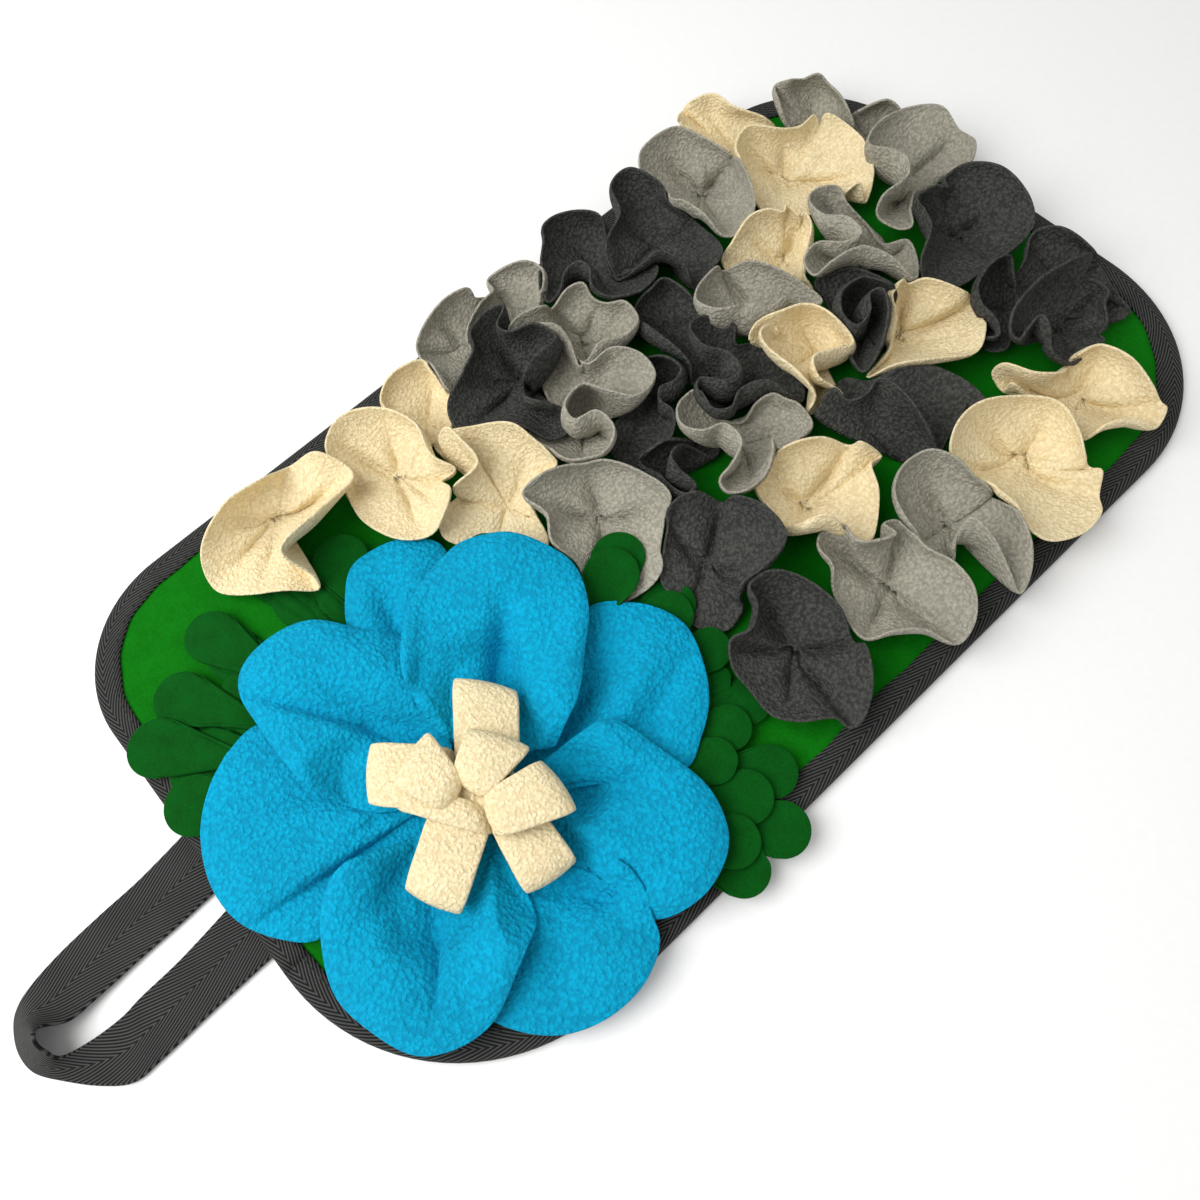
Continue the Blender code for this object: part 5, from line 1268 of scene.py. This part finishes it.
def strip(ladder, thickness, crown=0.0):
    """Points, faces, weave places, length and width of a strip with rounded edges, through
    (left, right) rows."""
    middle = ladder.mean(1)
    width = ladder[:, 1] - ladder[:, 0]
    wide = np.linalg.norm(width, axis=1, keepdims=True)
    side = width / wide
    up = unit(np.cross(side, np.gradient(middle, axis=0)))
    half = thickness / 2
    reach = np.linspace(-1, 1, STRIP_STEPS)
    turn = np.array((pi / 4, pi / 2, 3 * pi / 4))
    section = [(share, 1.0, 0.0) for share in reach]
    section += [(1.0, cos(angle), sin(angle)) for angle in turn]
    section += [(share, -1.0, 0.0) for share in reach[::-1]]
    section += [(-1.0, cos(angle), -sin(angle)) for angle in turn[::-1]]
    length = lengths(middle)
    loops, places = [], []
    for index, half_width in enumerate(wide[:, 0] / 2):
        loops.append([middle[index] + side[index] * (share * (half_width - half) + out * half)
                      + up[index] * (rise * half + crown * (1 - share**2)) for share, rise, out in section])
        places += [(length[index], share * half_width, 0.0) for share, *_ in section]
    points, faces = skin(loops)
    return points, faces, np.array(places), length[-1], float(wide.mean())


def add_handle():
    """The flat loop of tape at the near end."""
    rows = np.array([(on_photo(*outer), on_photo(*inner)) for outer, inner in HANDLE_ROWS])
    start = rows[:1] + (rows[:1] - rows[1:2]) * HANDLE_ENDS
    end = rows[-1:] + (rows[-1:] - rows[-2:-1]) * HANDLE_ENDS
    ladder = smooth_line(np.concatenate((start, rows, end)), False, HANDLE_STEPS)
    points, faces, weave, length, width = strip(ladder, HANDLE_THICKNESS)
    thing = add_piece("handle_tape", points, faces, "handle", "tape", weave=weave)


def add_panel():
    """The felt that everything is sewn to: flat, but for a raised rim and slight waves."""
    lower, upper = [], []
    for inset in PANEL_INSETS:
        line = outline(inset)
        x, y = line.T
        waves = PANEL_WAVE + PANEL_WAVE * np.sin(x / 11) * np.sin(y / 17)
        base = panel_top(x, y) - PANEL_THICKNESS
        lower.append(np.column_stack((line, base)))
        upper.append(np.column_stack((line, base + PANEL_THICKNESS + waves * min(1, inset / 20))))
    points, faces = skin(lower + upper[::-1])
    thing = add_piece("panel_felt", points, faces, "panel", "felt_bright_green", cut=np.zeros(len(points)))


def tape_side(depth, shares, steps):
    """One side of the folded tape's section, this far below its outer side: (inset, height) rows
    from its lower edge round to its upper edge."""
    middle = BINDING_TOP / 2
    radius = middle - depth
    flat = [BINDING_WIDTH * share for share in shares]
    turn = np.linspace(TURN_START, pi - TURN_START, steps)
    rows = [(inset, depth) for inset in flat]
    rows += [(depth + radius * (1 - sin(angle)), middle - radius * cos(angle)) for angle in turn]
    return rows + [(inset, BINDING_TOP - depth) for inset in reversed(flat)]


def add_binding():
    """The tape folded round the panel's edge, with its line of stitches."""
    line = whole_outline(0)
    inward = unit(whole_outline(1) - line)
    length = lengths(line)
    outer = tape_side(0.0, (1, 0.8, 0.6, 0.4, 0.2), 9)
    inner = tape_side(TAPE_THICKNESS, (1, 0.8, 0.6, 0.4), 5)
    section = np.array(outer + inner[::-1])
    girth = lengths(section)
    width = girth[len(outer) - 1]
    girth[len(outer):] = width - (girth[len(outer):] - girth[len(outer)])
    loops, weave = [], []
    for point, side, at in zip(line, inward, length):
        wave = sum(size * sin(at / pitch + phase) for size, pitch, phase in TAPE_WAVES)
        loops.append([(*(point + side * (inset + wave * (inset / BINDING_WIDTH) ** 2)), height)
                      for inset, height in section])
        weave += [(at, abs(around - width / 2) - BINDING_WIDTH / 2, 0.0) for around in girth]
    points, faces = skin(loops)
    thing = add_piece("binding_tape", points, faces, "binding", "tape", weave=np.array(weave))
    stitches = add_stitches()


def add_stitches():
    """The line of stitches on the binding."""
    line = whole_outline(STITCH_INSET)
    length = lengths(line)
    pitch = STITCH_LENGTH + STITCH_GAP

    def point_at(distance):
        return np.array([np.interp(distance, length, column) for column in line.T])

    bodies = []
    for number in range(int(length[-1] / pitch)):
        stations = []
        for share, size in STITCH_SHAPE:
            at = number * pitch + share * STITCH_LENGTH
            x, y = point_at(at)
            ahead = unit(point_at(at + 0.5) - (x, y))
            ring = []
            for angle in np.arange(STITCH_SIDES) * 2 * pi / STITCH_SIDES:
                out = STITCH_RADIUS * size * cos(angle)
                rise = STITCH_RADIUS * size * sin(angle)
                ring.append((x - ahead[1] * out, y + ahead[0] * out, BINDING_TOP + STITCH_RISE + rise))
            stations.append(ring)
        bodies.append(skin(stations))
    points, faces = joined(bodies)
    return add_piece("binding_stitches", points, faces, None, "tape", "thread")


def stamen_rows(base, root_left, root_right, fold_left, fold_right):
    """Rows of a strip that runs out from the centre, folds over and comes back above itself."""
    rows = []
    for share, rise, wide in STAMEN_PROFILE:
        height = STAMEN_BASE + FLEECE_THICKNESS / 2 + base + rise
        row = []
        for root, fold in ((root_left, fold_left), (root_right, fold_right)):
            start = on_photo(*root, height)
            row.append(start + share * (on_photo(*fold, height) - start))
        row = np.array(row)
        rows.append(row.mean(0) + wide * (row - row.mean(0)))
    return np.array(rows)


def stamen_core():
    """The crumpled cloth at the centre, where the strip is sewn through."""
    x, y, _ = on_photo(*FLOWER_CENTRE, STAMEN_BASE)
    loops = []
    for share in np.linspace(0, 1, 12):
        angle = pi * (share - 0.5)
        loop = []
        for turn in np.linspace(0, 2 * pi, 40, endpoint=False):
            crumple = 1 + 0.12 * sin(3 * turn + 4 * share) + 0.08 * sin(7 * turn - 5 * share)
            reach = CORE_RADIUS * max(cos(angle), 0.02) * crumple
            loop.append((x + reach * cos(turn), y + reach * sin(turn),
                         STAMEN_BASE + CORE_HEIGHT / 2 * (1 + sin(angle) * crumple)))
        loops.append(loop)
    return skin(loops)


def add_stamens():
    """A fleece strip folded out and back into flat loops."""
    bodies, cuts, runs, widths = [], [], [], []
    for row in STAMEN_LOOPS.values():
        ladder = smooth_line(stamen_rows(*row), False, STAMEN_STEPS)
        points, faces, weave, length, width = strip(ladder, STAMEN_THICKNESS, crown=STAMEN_CROWN)
        bodies.append((points, faces))
        # The strip's edges get a painted highlight, as cut edges.
        cuts.append((np.abs(weave[:, 1]) >= width / 2 - STAMEN_RIM) * STAMEN_HIGHLIGHT)
        runs.append(length)
        widths.append(width)
    bodies.append(stamen_core())
    cuts.append(np.zeros(len(bodies[-1][0])))
    points, faces = joined(bodies)
    thing = add_piece("stamens_fleece", points, faces, "stamens", "fleece_cream", cut=np.concatenate(cuts))


def add_camera():
    """The camera of the photograph."""
    right, down, forward = camera_axes()
    data = bpy.data.cameras.new("camera")
    data.sensor_width = SENSOR
    data.lens = CAMERA_FOCUS / PHOTO_SIZE * SENSOR
    data.clip_start = 0.01
    camera = add_object("camera", data)
    rows = np.column_stack((right, -down, -forward, CAMERA_PLACE * MM))
    camera.matrix_world = Matrix([*rows.tolist(), (0, 0, 0, 1)])
    bpy.context.scene.camera = camera


def add_light(name, place, size, power):
    """A round light that shines on the middle of the mat."""
    data = bpy.data.lights.new(name, "AREA")
    data.shape = "DISK"
    data.size = size
    data.energy = power
    light = add_object(name, data)
    light.location = place
    light.rotation_mode = "QUATERNION"
    light.rotation_quaternion = Vector(place).to_track_quat("Z", "Y")


def add_surroundings():
    """A white sky, one soft light and a pale floor."""
    world = bpy.data.worlds.new("studio")
    bpy.context.scene.world = world
    world.use_nodes = True
    background = world.node_tree.nodes["Background"]
    background.inputs["Color"].default_value = (1.0, 1.0, 1.0, 1.0)
    background.inputs["Strength"].default_value = SKY
    add_light("key", *KEY_LIGHT)
    mesh = bpy.data.meshes.new("floor")
    signs = (-1, -1), (1, -1), (1, 1), (-1, 1)
    corners = [(x * FLOOR_HALF, y * FLOOR_HALF, -FLOOR_DROP) for x, y in signs]
    mesh.from_pydata(corners, [], [(0, 1, 2, 3)])
    g = Graph("floor")
    grain = g.noise(4.0, 4.0)
    colour = g.blend(grain, (0.90, 0.90, 0.89), (0.94, 0.94, 0.93))
    mesh.materials.append(g.finish(colour, grain, 0.02, 0.9, 0.0, (1, 1, 1)))
    floor = add_object("floor", mesh)


def main():
    bpy.context.scene.view_settings.view_transform = "Standard"
    add_camera()
    add_surroundings()
    add_panel()
    add_binding()
    add_handle()
    add_cloths()
    add_stamens()


main()
